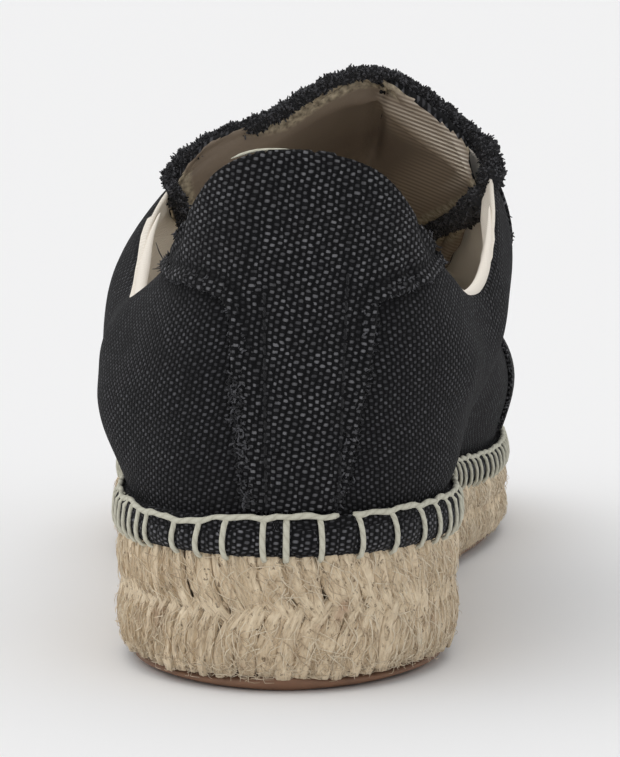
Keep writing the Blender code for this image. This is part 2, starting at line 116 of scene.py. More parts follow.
def soft_sun(name, azimuth, height, strength, spread):
    """A sun as wide as a soft box. Azimuth is the turn from behind the heel to its right, in degrees."""
    bpy.ops.object.light_add(type="SUN", location=(0, 0, 1))
    sun = bpy.context.object
    sun.name = name
    sun.data.energy = strength
    sun.data.angle = math.radians(spread)
    turn, rise = math.radians(azimuth), math.radians(height)
    towards = Vector((-math.sin(turn) * math.cos(rise), math.cos(turn) * math.cos(rise), -math.sin(rise)))
    sun.rotation_euler = towards.to_track_quat("-Z", "Y").to_euler()


soft_sun("top_light", -140.0, 76.0, 1.08, 80.0)
soft_sun("left_light", -75.0, 42.0, 0.28, 70.0)
soft_sun("heel_light", 10.0, 26.0, 0.06, 60.0)

# %% [markdown]
# ## Taking a form from the construction model
#
# The construction model is made of triangles that share no corners. A copy of it becomes workable once its
# doubles are merged and its triangles are joined back into four-sided faces. A Subdivision Surface modifier
# then rounds it, because it works best on such faces. It also pulls the form in, so the corners are first
# put out by as much, which is found by trying it a few times.


# %% Helpers for copies
def only(obj):
    """Selects one object and nothing else."""
    bpy.ops.object.select_all(action="DESELECT")
    obj.select_set(True)
    bpy.context.view_layer.objects.active = obj


def apply_modifier(obj, kind, **settings):
    """Adds a modifier with these settings, and applies it."""
    only(obj)
    modifier = obj.modifiers.new(kind.lower(), kind)
    for name, value in settings.items():
        setattr(modifier, name, value)
    bpy.ops.object.modifier_apply(modifier=modifier.name)


def corners_of(obj):
    """The corners of a mesh, and their normals, as arrays."""
    points = np.empty(len(obj.data.vertices) * 3)
    obj.data.vertices.foreach_get("co", points)
    normals = np.array([n.vector[:] for n in obj.data.vertex_normals])
    return points.reshape(-1, 3), normals


def move_corners(obj, points):
    """Puts the corners of a mesh at these places."""
    obj.data.vertices.foreach_set("co", points.ravel())
    obj.data.update()


MADE_UP = 0.8  # the share of what the smoothing takes away that one try makes up for
PUT_OUT = 1.3 * MM  # no corner is put out further than this


def form_of(node, name, levels, tries=3):
    """A workable copy of a CAD node, smoothed by that many levels of subdivision. It stands for the node."""
    obj = bpy.data.objects.new(name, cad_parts[node].data.copy())
    bpy.context.scene.collection.objects.link(obj)
    obj.data.materials.clear()
    only(obj)
    bpy.ops.object.mode_set(mode="EDIT")
    bpy.ops.mesh.select_all(action="SELECT")
    bpy.ops.mesh.remove_doubles(threshold=0.01 * MM)
    wide = math.radians(60)
    bpy.ops.mesh.tris_convert_to_quads(face_threshold=wide, shape_threshold=wide)
    bpy.ops.object.mode_set(mode="OBJECT")
    if levels:
        wanted, _ = corners_of(obj)
        cage = wanted.copy()
        for _ in range(tries):
            trial = obj.copy()
            trial.data = obj.data.copy()
            bpy.context.scene.collection.objects.link(trial)
            apply_modifier(trial, "SUBSURF", levels=levels, render_levels=levels)
            got, _ = corners_of(trial)
            bpy.data.objects.remove(trial)
            cage += (wanted - got[:len(wanted)]) * MADE_UP
            shift = cage - wanted
            far = np.linalg.norm(shift, axis=1)[:, None] + 1e-9
            cage = wanted + shift * np.minimum(1.0, PUT_OUT / far)
            move_corners(obj, cage)
        apply_modifier(obj, "SUBSURF", levels=levels, render_levels=levels)
    only(obj)
    bpy.ops.object.shade_smooth()
    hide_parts(node)
    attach(obj, BODY)
    print(name, "has", len(obj.data.polygons), "faces")
    return obj


# %% [markdown]
# ## The edge of the sole
#
# Everything on the sole runs round it: the plaits, the sewn margin, the stitches. So the script first
# measures the sole's edge, which is the outer rim of the upper's underside. A place on the side of the sole
# is then told by how far round it is from the middle of the heel, positive towards the big toe's side, and
# how high it is. The rim comes as corners at uneven distances, so it is spaced evenly and softened.


# %% Measure the edge
def underside_rim(node, highest):
    """The outer border of a node's underside, as a closed row of points."""
    bm = bmesh.new()
    bm.from_mesh(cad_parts[node].data)
    bmesh.ops.remove_doubles(bm, verts=bm.verts, dist=0.01 * MM)
    under = {f for f in bm.faces if f.normal.z < -0.6 and f.calc_center_median().z < highest}
    beside = {}
    for e in bm.edges:
        if sum(f in under for f in e.link_faces) == 1:
            a, b = e.verts
            beside.setdefault(a, []).append(b)
            beside.setdefault(b, []).append(a)
    here = min(beside, key=lambda v: (round(abs(v.co.x) / MM, 2), v.co.y))
    row, last = [here], None
    while True:
        onward = [v for v in beside[here] if v is not last]
        following = max(onward, key=lambda v: v.co.x if last is None else 0)
        here, last = following, here
        if here is row[0]:
            break
        row.append(here)
    points = np.array([v.co[:] for v in row])
    bm.free()
    return points


def far_along(row):
    """How far along an open row of points each one is."""
    return np.concatenate([[0.0], np.cumsum(np.linalg.norm(np.diff(row, axis=0), axis=1))])


def read_row(at, far, row):
    """What a row of points, or of directions, says at these distances along it."""
    return np.stack([np.interp(at, far, row[:, k]) for k in range(3)], axis=-1)


def resample(points, step, soften):
    """A closed row of points, evenly spaced and softened."""
    closed = np.vstack([points, points[:1]])
    far = far_along(closed)
    row = read_row(np.linspace(0.0, far[-1], int(far[-1] / step), endpoint=False), far, closed)
    reach = int(3 * soften / step)
    weights = np.exp(-0.5 * (np.arange(-reach, reach + 1) * step / soften) ** 2)
    weights /= weights.sum()
    return sum(w * np.roll(row, k - reach, axis=0) for k, w in enumerate(weights))


EDGE = resample(underside_rim("upper", 30 * MM), 0.5 * MM, 3 * MM)
STEPS = len(EDGE)
ROUND = np.linalg.norm(EDGE - np.roll(EDGE, 1, axis=0), axis=1).sum()
ahead = np.roll(EDGE, -1, axis=0) - np.roll(EDGE, 1, axis=0)
ahead /= np.linalg.norm(ahead, axis=1)[:, None]
OUT = np.column_stack([ahead[:, 1], -ahead[:, 0], np.zeros(STEPS)])
OUT /= np.linalg.norm(OUT, axis=1)[:, None]
RUBBER = 3 * MM  # the rubber's thickness under the jute
rubber_rim = underside_rim("outsole", 20 * MM)
rubber_rim = rubber_rim[np.argsort(rubber_rim[:, 1])]  # from heel to toe, for the height of its underside
print("the sole is", round(ROUND / MM), "mm round")

# %% [markdown]
# Two helpers read that edge: one gives the place that lies so far round, and the other tells how far round
# a point of some mesh is.


# %% Read the edge
def place_on_edge(far):
    """The edge's point, its outward direction and the ground's height, that far round from the heel."""
    at = (np.asarray(far) / ROUND * STEPS) % STEPS
    low = np.floor(at).astype(int) % STEPS
    part = (at - np.floor(at))[..., None]
    point = EDGE[low] * (1 - part) + EDGE[(low + 1) % STEPS] * part
    out = OUT[low] * (1 - part) + OUT[(low + 1) % STEPS] * part
    return point, out, np.interp(point[..., 1], rubber_rim[:, 1], rubber_rim[:, 2])


def how_far_round(points):
    """How far round the sole's edge each point is, from the heel's middle, negative on the outer side."""
    far = np.empty(len(points))
    for first in range(0, len(points), 2000):  # a few at a time, to spare memory
        some = points[first:first + 2000, None, :2] - EDGE[None, :, :2]
        far[first:first + 2000] = np.argmin((some ** 2).sum(axis=2), axis=1)
    far *= ROUND / STEPS
    return np.where(far > ROUND / 2, far - ROUND, far)


print("the heel's middle is at", [round(float(c) / MM, 1) for c in place_on_edge(0.0)[0]])

# %% [markdown]
# ## Yarns, threads, strands and fibres
#
# The shoe has thousands of small round things: strands of jute, stitches, the ends of frayed yarn. Each kind
# is modelled once as a straight form, a cylinder one unit long with its rings cut and scaled in edit mode.
# A copy is then bent along its own path, and all copies of a kind are joined to one piece. The UV map
# keeps how far round and how far along the thread each corner is, so that a twist or a fibre can follow it.


# %% Helpers for straight forms
def turn_of(point):
    """How far round Z a point is, as a share of a full turn."""
    return math.atan2(point[1], point[0]) / (2 * math.pi)


def even_rings(number, end):
    """Rings for a long thread that is even but for its ends, which have this width."""
    return [(0.0, end), (1.0, end)] + [(k / number, 1.0) for k in range(1, number)]


def straight_form(sides, rings, ridge=1.0, open_end=False):
    """A unit cylinder along Z with these rings: (height, width). Every other side is scaled by ridge."""
    bpy.ops.object.select_all(action="DESELECT")
    bpy.ops.mesh.primitive_cylinder_add(vertices=sides, radius=1.0, depth=1.0, location=(0, 0, 0),
                                        end_fill_type="NOTHING" if open_end else "NGON")
    obj = bpy.context.object
    bpy.ops.object.mode_set(mode="EDIT")
    bpy.ops.mesh.select_all(action="SELECT")
    bpy.ops.transform.translate(value=(0, 0, 0.5))
    for height, _ in rings:
        if 0.0 < height < 1.0:
            bpy.ops.mesh.select_all(action="SELECT")
            bpy.ops.mesh.bisect(plane_co=(0, 0, height), plane_no=(0, 0, 1))
    bm = bmesh.from_edit_mesh(obj.data)
    for height, width in rings:
        for v in bm.verts:
            v.select_set(abs(v.co.z - height) < 1e-4)
        bm.select_flush(True)
        bpy.ops.transform.resize(value=(width, width, 1), center_override=(0, 0, height))
    if ridge != 1.0:
        for v in bm.verts:
            v.select_set(round(turn_of(v.co) * sides) % 2 == 0)
        bpy.ops.transform.resize(value=(ridge, ridge, 1), center_override=(0, 0, 0))
    bpy.ops.object.mode_set(mode="OBJECT")
    points = np.array([v.co[:] for v in obj.data.vertices])
    faces = [tuple(p.vertices) for p in obj.data.polygons]
    round_uv = []
    for face in faces:
        turns = [turn_of(points[i]) for i in face]
        if max(turns) - min(turns) > 0.5:
            turns = [t + 1 if t < 0 else t for t in turns]
        round_uv.extend(zip(turns, (points[i][2] for i in face)))
    bpy.data.objects.remove(obj)
    return {"points": points, "faces": faces, "uv": np.array(round_uv)}


# %% [markdown]
# A bent copy follows its path: each ring of the straight form goes as far along the path as it stands up the
# form, and turns across it. All copies of a kind become one mesh, because thousands of objects would be slow.


# %% Helpers for bent copies
def laid(form, path, facing, width, thick):
    """A copy of a straight form, bent along a path. Facing is the side that its X turns to. Width, across,
    and thick, along facing, are numbers or rows of numbers along the path."""
    path = np.asarray(path, float)
    count = len(path)
    stretch = far_along(path)
    at = form["points"][:, 2] * stretch[-1]
    spot = read_row(at, stretch, path)
    tangent = np.gradient(path, axis=0)
    tangent /= np.linalg.norm(tangent, axis=1)[:, None] + 1e-12
    along = read_row(at, stretch, tangent)
    along /= np.linalg.norm(along, axis=1)[:, None] + 1e-12
    side = read_row(at, stretch, np.broadcast_to(np.asarray(facing, float), (count, 3)))
    side -= along * (side * along).sum(axis=1)[:, None]
    side /= np.linalg.norm(side, axis=1)[:, None] + 1e-12
    other = np.cross(along, side)
    wide = np.interp(at, stretch, np.broadcast_to(width, count))
    deep = np.interp(at, stretch, np.broadcast_to(thick, count))
    corners = spot + side * (form["points"][:, 0] * deep)[:, None]
    corners += other * (form["points"][:, 1] * wide)[:, None]
    return corners, stretch[-1]


def piece_of(name, form, copies, material):
    """All bent copies of one form, joined to one piece, with the thread's UV map."""
    size = len(form["points"])
    corners = np.vstack([points for points, _ in copies])
    faces = [tuple(i + k * size for i in face) for k in range(len(copies)) for face in form["faces"]]
    uv = np.vstack([form["uv"] * (1, length / MM) + (k, 17.3 * k) for k, (_, length) in enumerate(copies)])
    mesh = bpy.data.meshes.new(name)
    mesh.from_pydata(corners.tolist(), [], faces)
    mesh.uv_layers.new(name="thread").data.foreach_set("uv", uv.ravel())
    mesh.polygons.foreach_set("use_smooth", [True] * len(faces))
    mesh.materials.append(material)
    obj = bpy.data.objects.new(name, mesh)
    bpy.context.scene.collection.objects.link(obj)
    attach(obj, BODY)
    print(name, "is", len(copies), "copies,", sum(len(f) - 2 for f in faces), "triangles")
    return obj


# %% [markdown]
# ## Finishes
#
# Canvas is a plain weave: each yarn goes over one and under the next, like a chessboard. On this washed
# black canvas the weft shows its worn, paler back wherever it comes on top, so the cloth is black with
# rows of grey dots. A shader node group makes that board from two sine waves, with a UV map in metres.
#
# Building that group and the materials takes many nodes, so a few helpers come first: each adds one kind of
# node and plugs its values in.


# %% Helpers for nodes
def plug(tree, socket, value):
    """Gives a socket a value, or a link from another socket."""
    if isinstance(value, bpy.types.NodeSocket):
        tree.links.new(value, socket)
    else:
        socket.default_value = value


def node_in(tree, kind, **values):
    """Adds a node. Values are sockets by name, or the node's own settings by their lower-case names."""
    node = tree.nodes.new(kind)
    for name, value in values.items():
        if name.islower() and hasattr(node, name):
            setattr(node, name, value)
        else:
            plug(tree, node.inputs[name.replace("_", " ")], value)
    return node


def calc(tree, operation, *values, clamp=False):
    """A Math node on these values or sockets."""
    node = tree.nodes.new("ShaderNodeMath")
    node.operation, node.use_clamp = operation, clamp
    for socket, value in zip(node.inputs, values):
        plug(tree, socket, value)
    return node.outputs[0]


def blend_of(tree, share, first, second):
    """A Mix Color node, from the first colour to the second by that share."""
    node = tree.nodes.new("ShaderNodeMix")
    node.data_type = "RGBA"
    plug(tree, node.inputs[0], share)
    for socket, value in ((node.inputs[6], first), (node.inputs[7], second)):
        plug(tree, socket, value if isinstance(value, bpy.types.NodeSocket) else (*value, 1.0))
    return node.outputs[2]


def share_of(tree, value, low, high, **settings):
    """A Map Range node: how far a value has got from low to high, from 0 to 1."""
    node = node_in(tree, "ShaderNodeMapRange", Value=value, From_Min=low, From_Max=high, **settings)
    return node.outputs[0]


def noise(tree, at, scale, detail, **settings):
    """A Noise Texture node at these places."""
    return node_in(tree, "ShaderNodeTexNoise", Vector=at, Scale=scale, Detail=detail, **settings).outputs[0]


# %% [markdown]
# The weave group takes a place on the cloth and puts out two values: how much of the worn weft shows there,
# and how high the yarn lies. Real yarns wander, so a gentle noise bends the board first.


# %% Weave group
def shader_group(name, inputs, outputs):
    """An empty shader node group. Inputs are (name, kind, value), outputs are (name, kind)."""
    group = bpy.data.node_groups.new(name, "ShaderNodeTree")
    for title, kind, value in inputs:
        socket = group.interface.new_socket(title, in_out="INPUT", socket_type="NodeSocket" + kind)
        if value is not None:
            socket.default_value = value
    for title, kind in outputs:
        group.interface.new_socket(title, in_out="OUTPUT", socket_type="NodeSocket" + kind)
    return group, group.nodes.new("NodeGroupInput"), group.nodes.new("NodeGroupOutput")


weave, given, made = shader_group(
    "plain_weave",
    [("Vector", "Vector", None), ("Yarns per metre", "Float", 860.0), ("Rows per metre", "Float", 1480.0),
     ("Looseness", "Float", 0.3)],
    [("Dots", "Float"), ("Height", "Float")])
wander = node_in(weave, "ShaderNodeTexNoise", Vector=given.outputs["Vector"], Scale=160.0, Detail=2.0)
apart = node_in(weave, "ShaderNodeSeparateXYZ", Vector=given.outputs["Vector"])
drift = node_in(weave, "ShaderNodeSeparateColor", Color=wander.outputs["Color"])
loose = calc(weave, "MULTIPLY", given.outputs["Looseness"], 4.0)
across, up = (calc(weave, "MULTIPLY_ADD", apart.outputs[k], given.outputs[number],
                   calc(weave, "MULTIPLY", drift.outputs[k], loose))
              for k, number in ((0, "Yarns per metre"), (1, "Rows per metre")))
side_wave, row_wave = (calc(weave, "SINE", calc(weave, "MULTIPLY", at, math.pi)) for at in (across, up))
float_form = calc(weave, "MULTIPLY", calc(weave, "POWER", calc(weave, "ABSOLUTE", side_wave), 1.3),
                  calc(weave, "POWER", calc(weave, "ABSOLUTE", row_wave), 0.4))
weft_up = calc(weave, "GREATER_THAN", calc(weave, "MULTIPLY", side_wave, row_wave), 0.0)
cell = node_in(weave, "ShaderNodeCombineXYZ", X=calc(weave, "FLOOR", across), Y=calc(weave, "FLOOR", up))
lot = node_in(weave, "ShaderNodeTexWhiteNoise", Vector=cell.outputs[0])  # each dot is worn by its own amount
dot_form = calc(weave, "MULTIPLY", float_form, calc(weave, "MULTIPLY_ADD", weft_up, 0.78, 0.22))
dots = share_of(weave, dot_form, 0.14, 0.86, interpolation_type="SMOOTHSTEP")
worn_by = calc(weave, "MULTIPLY_ADD", lot.outputs["Value"], 0.6, 0.4)
stands_up = calc(weave, "MULTIPLY_ADD", weft_up, 0.3, 0.7)
plug(weave, made.inputs["Dots"], calc(weave, "MULTIPLY", dots, worn_by))
plug(weave, made.inputs["Height"], calc(weave, "MULTIPLY", float_form, stands_up))
print("the weave group has", len(weave.nodes), "nodes")

# %% [markdown]
# ## The canvas
#
# One material serves all the canvas, with other values for each place: how its rows lie, how pale the worn
# weft is, and how much the cloth has faded in patches. Where a seam, a stitched row or the tab's edge
# lies low, an attribute of the mesh holds the dots back: that is partly cloth kept from wear and partly
# painted shade, and under the tab's edge painted shadow. A little sheen and a rough surface make it cloth.


# %% Canvas materials
def new_material(name):
    """A material with its Principled BSDF, tree and output."""
    material = bpy.data.materials.new(name)
    material.use_nodes = True
    return material, material.node_tree, material.node_tree.nodes["Principled BSDF"]


def bumped(tree, shader, height, distance):
    """Feeds a height into the shader's normal."""
    bump = node_in(tree, "ShaderNodeBump", Height=height, Distance=distance)
    plug(tree, shader.inputs["Normal"], bump.outputs["Normal"])


def canvas_material(name, turned, dark, pale, worn, shine):
    """Washed black canvas. Turned is the angle of its rows, and worn how far it has faded in patches."""
    material, tree, shader = new_material(name)
    uv = node_in(tree, "ShaderNodeUVMap", uv_map="cloth")
    laid_at = node_in(tree, "ShaderNodeMapping", Vector=uv.outputs[0], Rotation=(0.0, 0.0, turned))
    cloth = tree.nodes.new("ShaderNodeGroup")
    cloth.node_tree = weave
    plug(tree, cloth.inputs["Vector"], laid_at.outputs[0])
    where = node_in(tree, "ShaderNodeTexCoord").outputs["Object"]
    patches = noise(tree, where, 70.0, 3.0)
    faded = calc(tree, "MULTIPLY_ADD", patches, worn * 2.2, 1.0 - worn * 1.1, clamp=True)
    # Painted shade, partly unworn cloth: the attribute holds the grey dots back in seams and under edges.
    unworn_and_shade = node_in(tree, "ShaderNodeAttribute", attribute_name="unworn_and_painted_shade").outputs["Fac"]
    faded = calc(tree, "MULTIPLY", faded, calc(tree, "SUBTRACT", 1.0, unworn_and_shade, clamp=True))
    slubs = calc(tree, "MULTIPLY_ADD", noise(tree, where, 420.0, 1.0), 1.6, 0.1)
    shown = calc(tree, "MULTIPLY", cloth.outputs["Dots"], calc(tree, "MULTIPLY", faded, slubs), clamp=True)
    # Painted shade: where the yarn lies low in the weave, the black is darker still.
    ground = blend_of(tree, cloth.outputs["Height"], [c * 0.45 for c in dark], dark)
    plug(tree, shader.inputs["Base Color"], blend_of(tree, shown, ground, pale))
    set_on(shader, Roughness=0.92, Specular_IOR_Level=0.12, Sheen_Weight=shine, Sheen_Roughness=0.55)
    bumped(tree, shader, cloth.outputs["Height"], 0.25 * MM)
    return material


BLACK = (0.0098, 0.0098, 0.0112)
quarter_canvas = canvas_material("quarter_canvas", 0.0, BLACK, (0.093, 0.093, 0.101), 0.9, 0.02)
tab_canvas = canvas_material("tab_canvas", 0.16, BLACK, (0.170, 0.170, 0.180), 0.6, 0.03)
margin_canvas = canvas_material("margin_canvas", 0.1, BLACK, (0.19, 0.19, 0.205), 0.6, 0.06)
print("canvas:", [m.name for m in (quarter_canvas, tab_canvas, margin_canvas)])

# %% [markdown]
# ## The lining and the footbed
#
# The lining is a cream cotton drill, and the footbed has a coarser brown cloth. Both show fine ribs rather
# than dots. A sine wave across the UV map draws the ribs, and noise breaks them up.


# %% Ribbed cloths
def ribbed_cloth(name, colour, dark, ribs, diagonal, depth):
    """A cloth whose weave shows as fine ribs, at some slant."""
    material, tree, shader = new_material(name)
    uv = node_in(tree, "ShaderNodeUVMap", uv_map="cloth").outputs[0]
    apart = node_in(tree, "ShaderNodeSeparateXYZ", Vector=uv)
    slant = calc(tree, "MULTIPLY_ADD", apart.outputs[0], diagonal, apart.outputs[1])
    wave = calc(tree, "SINE", calc(tree, "MULTIPLY", slant, 2 * math.pi * ribs))
    ribbed = calc(tree, "MULTIPLY_ADD", wave, 0.5, 0.5)
    height = calc(tree, "MULTIPLY_ADD", noise(tree, uv, 900.0, 2.0), 0.5, ribbed)
    lit = calc(tree, "MULTIPLY", height, 0.5)
    tone = calc(tree, "MULTIPLY_ADD", noise(tree, uv, 60.0, 2.0), 0.6, lit, clamp=True)
    plug(tree, shader.inputs["Base Color"], blend_of(tree, tone, dark, colour))
    set_on(shader, Roughness=0.8, Specular_IOR_Level=0.3)
    bumped(tree, shader, height, depth)
    return material


cream_lining = ribbed_cloth("cream_lining", (0.92, 0.86, 0.77), (0.74, 0.67, 0.57), 1400.0, 1.0, 0.08 * MM)
footbed_cloth = ribbed_cloth("footbed_cloth", (0.62, 0.56, 0.46), (0.42, 0.37, 0.30), 1100.0, 0.6, 0.1 * MM)
print("ribbed cloths:", cream_lining.name, footbed_cloth.name)

# %% [markdown]
# ## Thread and yarn
#
# A thread is twisted, so its light runs over it in slanting stripes. The UV map of a bent copy tells how far
# round and along the thread a place is, and a sine wave of both together makes the twist. Black yarn is for
# the fringe, worn yarn for its faded ends, and the ecru thread sews the shoe on its sole.


# %% Thread and yarn materials
def thread_material(name, colour, dark, turns, depth):
    """A twisted thread. Turns is the number of twists in a millimetre."""
    material, tree, shader = new_material(name)
    uv = node_in(tree, "ShaderNodeUVMap", uv_map="thread").outputs[0]
    apart = node_in(tree, "ShaderNodeSeparateXYZ", Vector=uv)
    slant = calc(tree, "MULTIPLY_ADD", apart.outputs[1], turns, calc(tree, "MULTIPLY", apart.outputs[0], 2.0))
    wave = calc(tree, "ABSOLUTE", calc(tree, "SINE", calc(tree, "MULTIPLY", slant, math.pi)))
    tone = calc(tree, "MULTIPLY", calc(tree, "POWER", wave, 0.5),
                calc(tree, "MULTIPLY_ADD", noise(tree, uv, 3.0, 3.0), 0.9, 0.4), clamp=True)
    plug(tree, shader.inputs["Base Color"], blend_of(tree, tone, dark, colour))
    set_on(shader, Roughness=0.85, Specular_IOR_Level=0.25, Sheen_Weight=0.1)
    bumped(tree, shader, wave, depth)
    return material


ecru_thread = thread_material("ecru_thread", (0.66, 0.65, 0.54), (0.47, 0.45, 0.36), 0.4, 0.06 * MM)
cream_binding = thread_material("cream_binding", (0.92, 0.86, 0.77), (0.80, 0.73, 0.63), 1.3, 0.04 * MM)
black_yarn = thread_material("black_yarn", (0.024, 0.024, 0.027), (0.008, 0.008, 0.009), 1.2, 0.08 * MM)
worn_yarn = thread_material("worn_yarn", (0.105, 0.105, 0.115), (0.03, 0.03, 0.034), 1.2, 0.08 * MM)
dark_thread = thread_material("dark_thread", (0.020, 0.020, 0.022), (0.006, 0.006, 0.007), 0.8, 0.06 * MM)
print("threads:", [m.name for m in (ecru_thread, cream_binding, black_yarn, worn_yarn, dark_thread)])

# %% [markdown]
# ## Jute
#
# A strand of jute is a bundle of long fibres, each with its own tone. Noise that is stretched along the
# strand's UV map draws them, and a second, sharper one paints dark gaps between them, as the shade that
# falls between fibres. Brown blotches and a few pinkish flecks follow the place on the sole instead, because
# they come from handling.


# %% Jute material
def ramp(tree, share, first, middle, last):
    """A Color Ramp with three stops: (position, colour)."""
    node = node_in(tree, "ShaderNodeValToRGB", Fac=share)
    stops = node.color_ramp.elements
    stops[0].position, stops[0].color = first[0], (*first[1], 1)
    stops[1].position, stops[1].color = last[0], (*last[1], 1)
    stops.new(middle[0]).color = (*middle[1], 1)
    return node.outputs[0]


def along_strand(tree, uv, across, along, detail, rough):
    """Noise with this many changes across a strand, and along it for each millimetre."""
    drawn_out = node_in(tree, "ShaderNodeMapping", Vector=uv, Scale=(across, along, 1.0))
    return noise(tree, drawn_out.outputs[0], 1.0, detail, Roughness=rough)


jute, tree, shader = new_material("jute")
uv = node_in(tree, "ShaderNodeUVMap", uv_map="thread").outputs[0]
where = node_in(tree, "ShaderNodeTexCoord").outputs["Object"]
fibres = along_strand(tree, uv, 17.0, 0.35, 4.0, 0.65)
gaps = share_of(tree, along_strand(tree, uv, 9.0, 0.55, 3.0, 0.7), 0.585, 0.66)
stains = noise(tree, where, 120.0, 2.0)
colour = ramp(tree, fibres, (0.30, (0.30, 0.21, 0.13)), (0.44, (0.76, 0.61, 0.42)),
              (0.68, (0.98, 0.83, 0.61)))
# The last blend paints the gaps between fibres dark: painted shade.
for share, strength, stain in ((share_of(tree, stains, 0.64, 0.74), 0.45, (0.66, 0.36, 0.24)),
                               (share_of(tree, stains, 0.56, 0.80), 0.5, (0.30, 0.20, 0.12)),
                               (gaps, 0.8, (0.16, 0.105, 0.06))):
    colour = blend_of(tree, calc(tree, "MULTIPLY", share, strength), colour, stain)
plug(tree, shader.inputs["Base Color"], colour)
set_on(shader, Roughness=0.75, Specular_IOR_Level=0.35, Sheen_Weight=0.1)
bumped(tree, shader, fibres, 0.6 * MM)
print(jute.name, "has", len(tree.nodes), "nodes")

# %% [markdown]
# A single fibre is too thin for a pattern, so each has one tone of its own. The UV map holds the number of
# the copy, and white noise turns that number into a tone.

# %% Jute fibre material
jute_fibre, tree, shader = new_material("jute_fibre")
uv = node_in(tree, "ShaderNodeUVMap", uv_map="thread")
apart = node_in(tree, "ShaderNodeSeparateXYZ", Vector=uv.outputs[0])
copy_at = node_in(tree, "ShaderNodeCombineXYZ", X=calc(tree, "ROUND", apart.outputs[0]))
own = node_in(tree, "ShaderNodeTexWhiteNoise", Vector=copy_at.outputs[0])
tone = ramp(tree, own.outputs["Value"], (0.0, (0.48, 0.36, 0.24)), (0.3, (0.73, 0.60, 0.43)),
            (1.0, (0.90, 0.80, 0.63)))
plug(tree, shader.inputs["Base Color"], tone)
set_on(shader, Roughness=0.7)
print(jute_fibre.name, "has", len(tree.nodes), "nodes")

# %% [markdown]
# ## Rubber, and the painted shadow inside the jute
#
# The rubber sole is dull brown, and behind the strands the sole is painted dark, as the shadow between
# them. Both get two tones of one colour in fine patches, from noise, and a little relief.


# %% Rubber and core materials
def patchy_material(name, colour, dark, scale, rough, depth):
    """A dull solid: two tones of one colour in fine patches, with a little relief."""
    material, tree, shader = new_material(name)
    patches = noise(tree, node_in(tree, "ShaderNodeTexCoord").outputs["Object"], scale, 5.0)
    plug(tree, shader.inputs["Base Color"], blend_of(tree, patches, dark, colour))
    set_on(shader, Roughness=rough)
    bumped(tree, shader, patches, depth)
    return material


# The core's dark brown is painted shadow, for the shade between the strands.
jute_shadow = patchy_material("jute_core_painted_shadow", (0.16, 0.10, 0.055), (0.05, 0.03, 0.018), 900.0, 0.9, 0.5 * MM)
brown_rubber = patchy_material("brown_rubber", (0.37, 0.195, 0.115), (0.18, 0.10, 0.063), 260.0, 0.6,
                               0.1 * MM)
print("dull solids:", jute_shadow.name, brown_rubber.name)

# %% [markdown]
# ## The canvas upper
#
# The upper is one shell with canvas outside and cream lining inside. The construction model's shell is
# smoothed, then pressed where the real cloth creases: each crease is a line along which the wall
# is pushed in or out, and the push fades away sideways like a bell.


# %% The upper and its creases
upper = form_of("upper", "canvas_upper", 2)
CORE = np.array([(0.0, -95.0, 45.0), (0.0, 95.0, 35.0)]) * MM  # a line through the middle of the foot


def from_core(points):
    """The way from the line through the foot to each point."""
    line = CORE[1] - CORE[0]
    share = np.clip(((points - CORE[0]) @ line) / (line @ line), 0.0, 1.0)
    return points - CORE[0] - share[:, None] * line


def press(obj, creases):
    """Pushes a surface in or out along lines: (from, to, half width, depth), all in mm, depth inward."""
    points, normals = corners_of(obj)
    shift = np.zeros(len(points))
    for first, last, wide, deep in creases:
        first, last = np.array(first) * MM, np.array(last) * MM
        line = last - first
        share = np.clip(((points - first) @ line) / (line @ line), 0.0, 1.0)
        far = np.linalg.norm(points - first - share[:, None] * line, axis=1)
        taper = np.sin(math.pi * np.clip(share * 0.86 + 0.07, 0, 1)) ** 0.6
        shift -= deep * MM * taper * np.exp(-0.5 * (far / (wide * MM)) ** 2)
    outer = np.sign((from_core(points) * normals).sum(axis=1))  # both layers of the wall go the same way
    move_corners(obj, points + normals * (outer * shift)[:, None])


def nudge(obj, around, reach, shift):
    """Moves what lies within reach of a place, less and less with the distance. All are in mm."""
    points, _ = corners_of(obj)
    far = np.linalg.norm(points - np.array(around) * MM, axis=1) / (reach * MM)
    points += np.array(shift) * MM * (np.clip(1 - far ** 2, 0, 1) ** 2)[:, None]
    move_corners(obj, points)


CREASES = [  # outward bulges have a negative depth
    ((-34, -118, 40), (-42, -78, 60), 9.0, -0.8), ((-30, -122, 66), (-43, -84, 54), 3.5, 0.5),
    ((-28, -128, 44), (-40, -96, 38), 4.0, 0.6), ((24, -131, 54), (44, -86, 45), 4.5, 2.0),
    ((30, -122, 40), (42, -88, 34), 3.5, -0.6), ((27, -126, 68), (42, -94, 58), 5.0, -0.7),
    ((-6, -141, 90), (12, -141, 90), 7.0, 0.7), ((-22, -134, 50), (-34, -116, 46), 4.0, 0.8),
    ((36, -100, 55), (44, -70, 42), 4.0, 0.8), ((-40, -60, 62), (-44, -10, 44), 6.0, 0.7),
    ((44, -55, 60), (46, 0, 42), 6.0, 0.8), ((-30, 40, 52), (-8, 62, 57), 5.0, 0.8),
    ((10, 62, 58), (36, 40, 50), 5.0, 0.9), ((-34, 20, 58), (-40, 60, 36), 5.0, 0.6),
    ((40, 20, 58), (45, 60, 36), 5.0, 0.7),
]
press(upper, CREASES)
TAB_SHOULDERS = [((-17, -127, 97), 20, (-1.4, 0.2, 0)), ((23, -127, 101), 14, (0.9, 0.2, 0))]
OUTER_QUARTER = [((-37, -86, 72), 20, (-1.5, 0, -0.8)), ((-42, -62, 80), 27, (-2.0, 0, 0))]
for around, reach, shift in TAB_SHOULDERS + OUTER_QUARTER:
    nudge(upper, around, reach, shift)
print("creases:", len(CREASES))

# %% [markdown]
# ## The collar and the lower wall
#
# The collar isn't a straight wall. Its rim leans outwards on the big toe's side, and its padding swells
# inwards a little below the rim. Further down, along the outer ball, the canvas draws in towards the sole.
# Both are smooth moves of the corners: the amount depends on how far a corner is below the rim, or above
# the sole's edge.

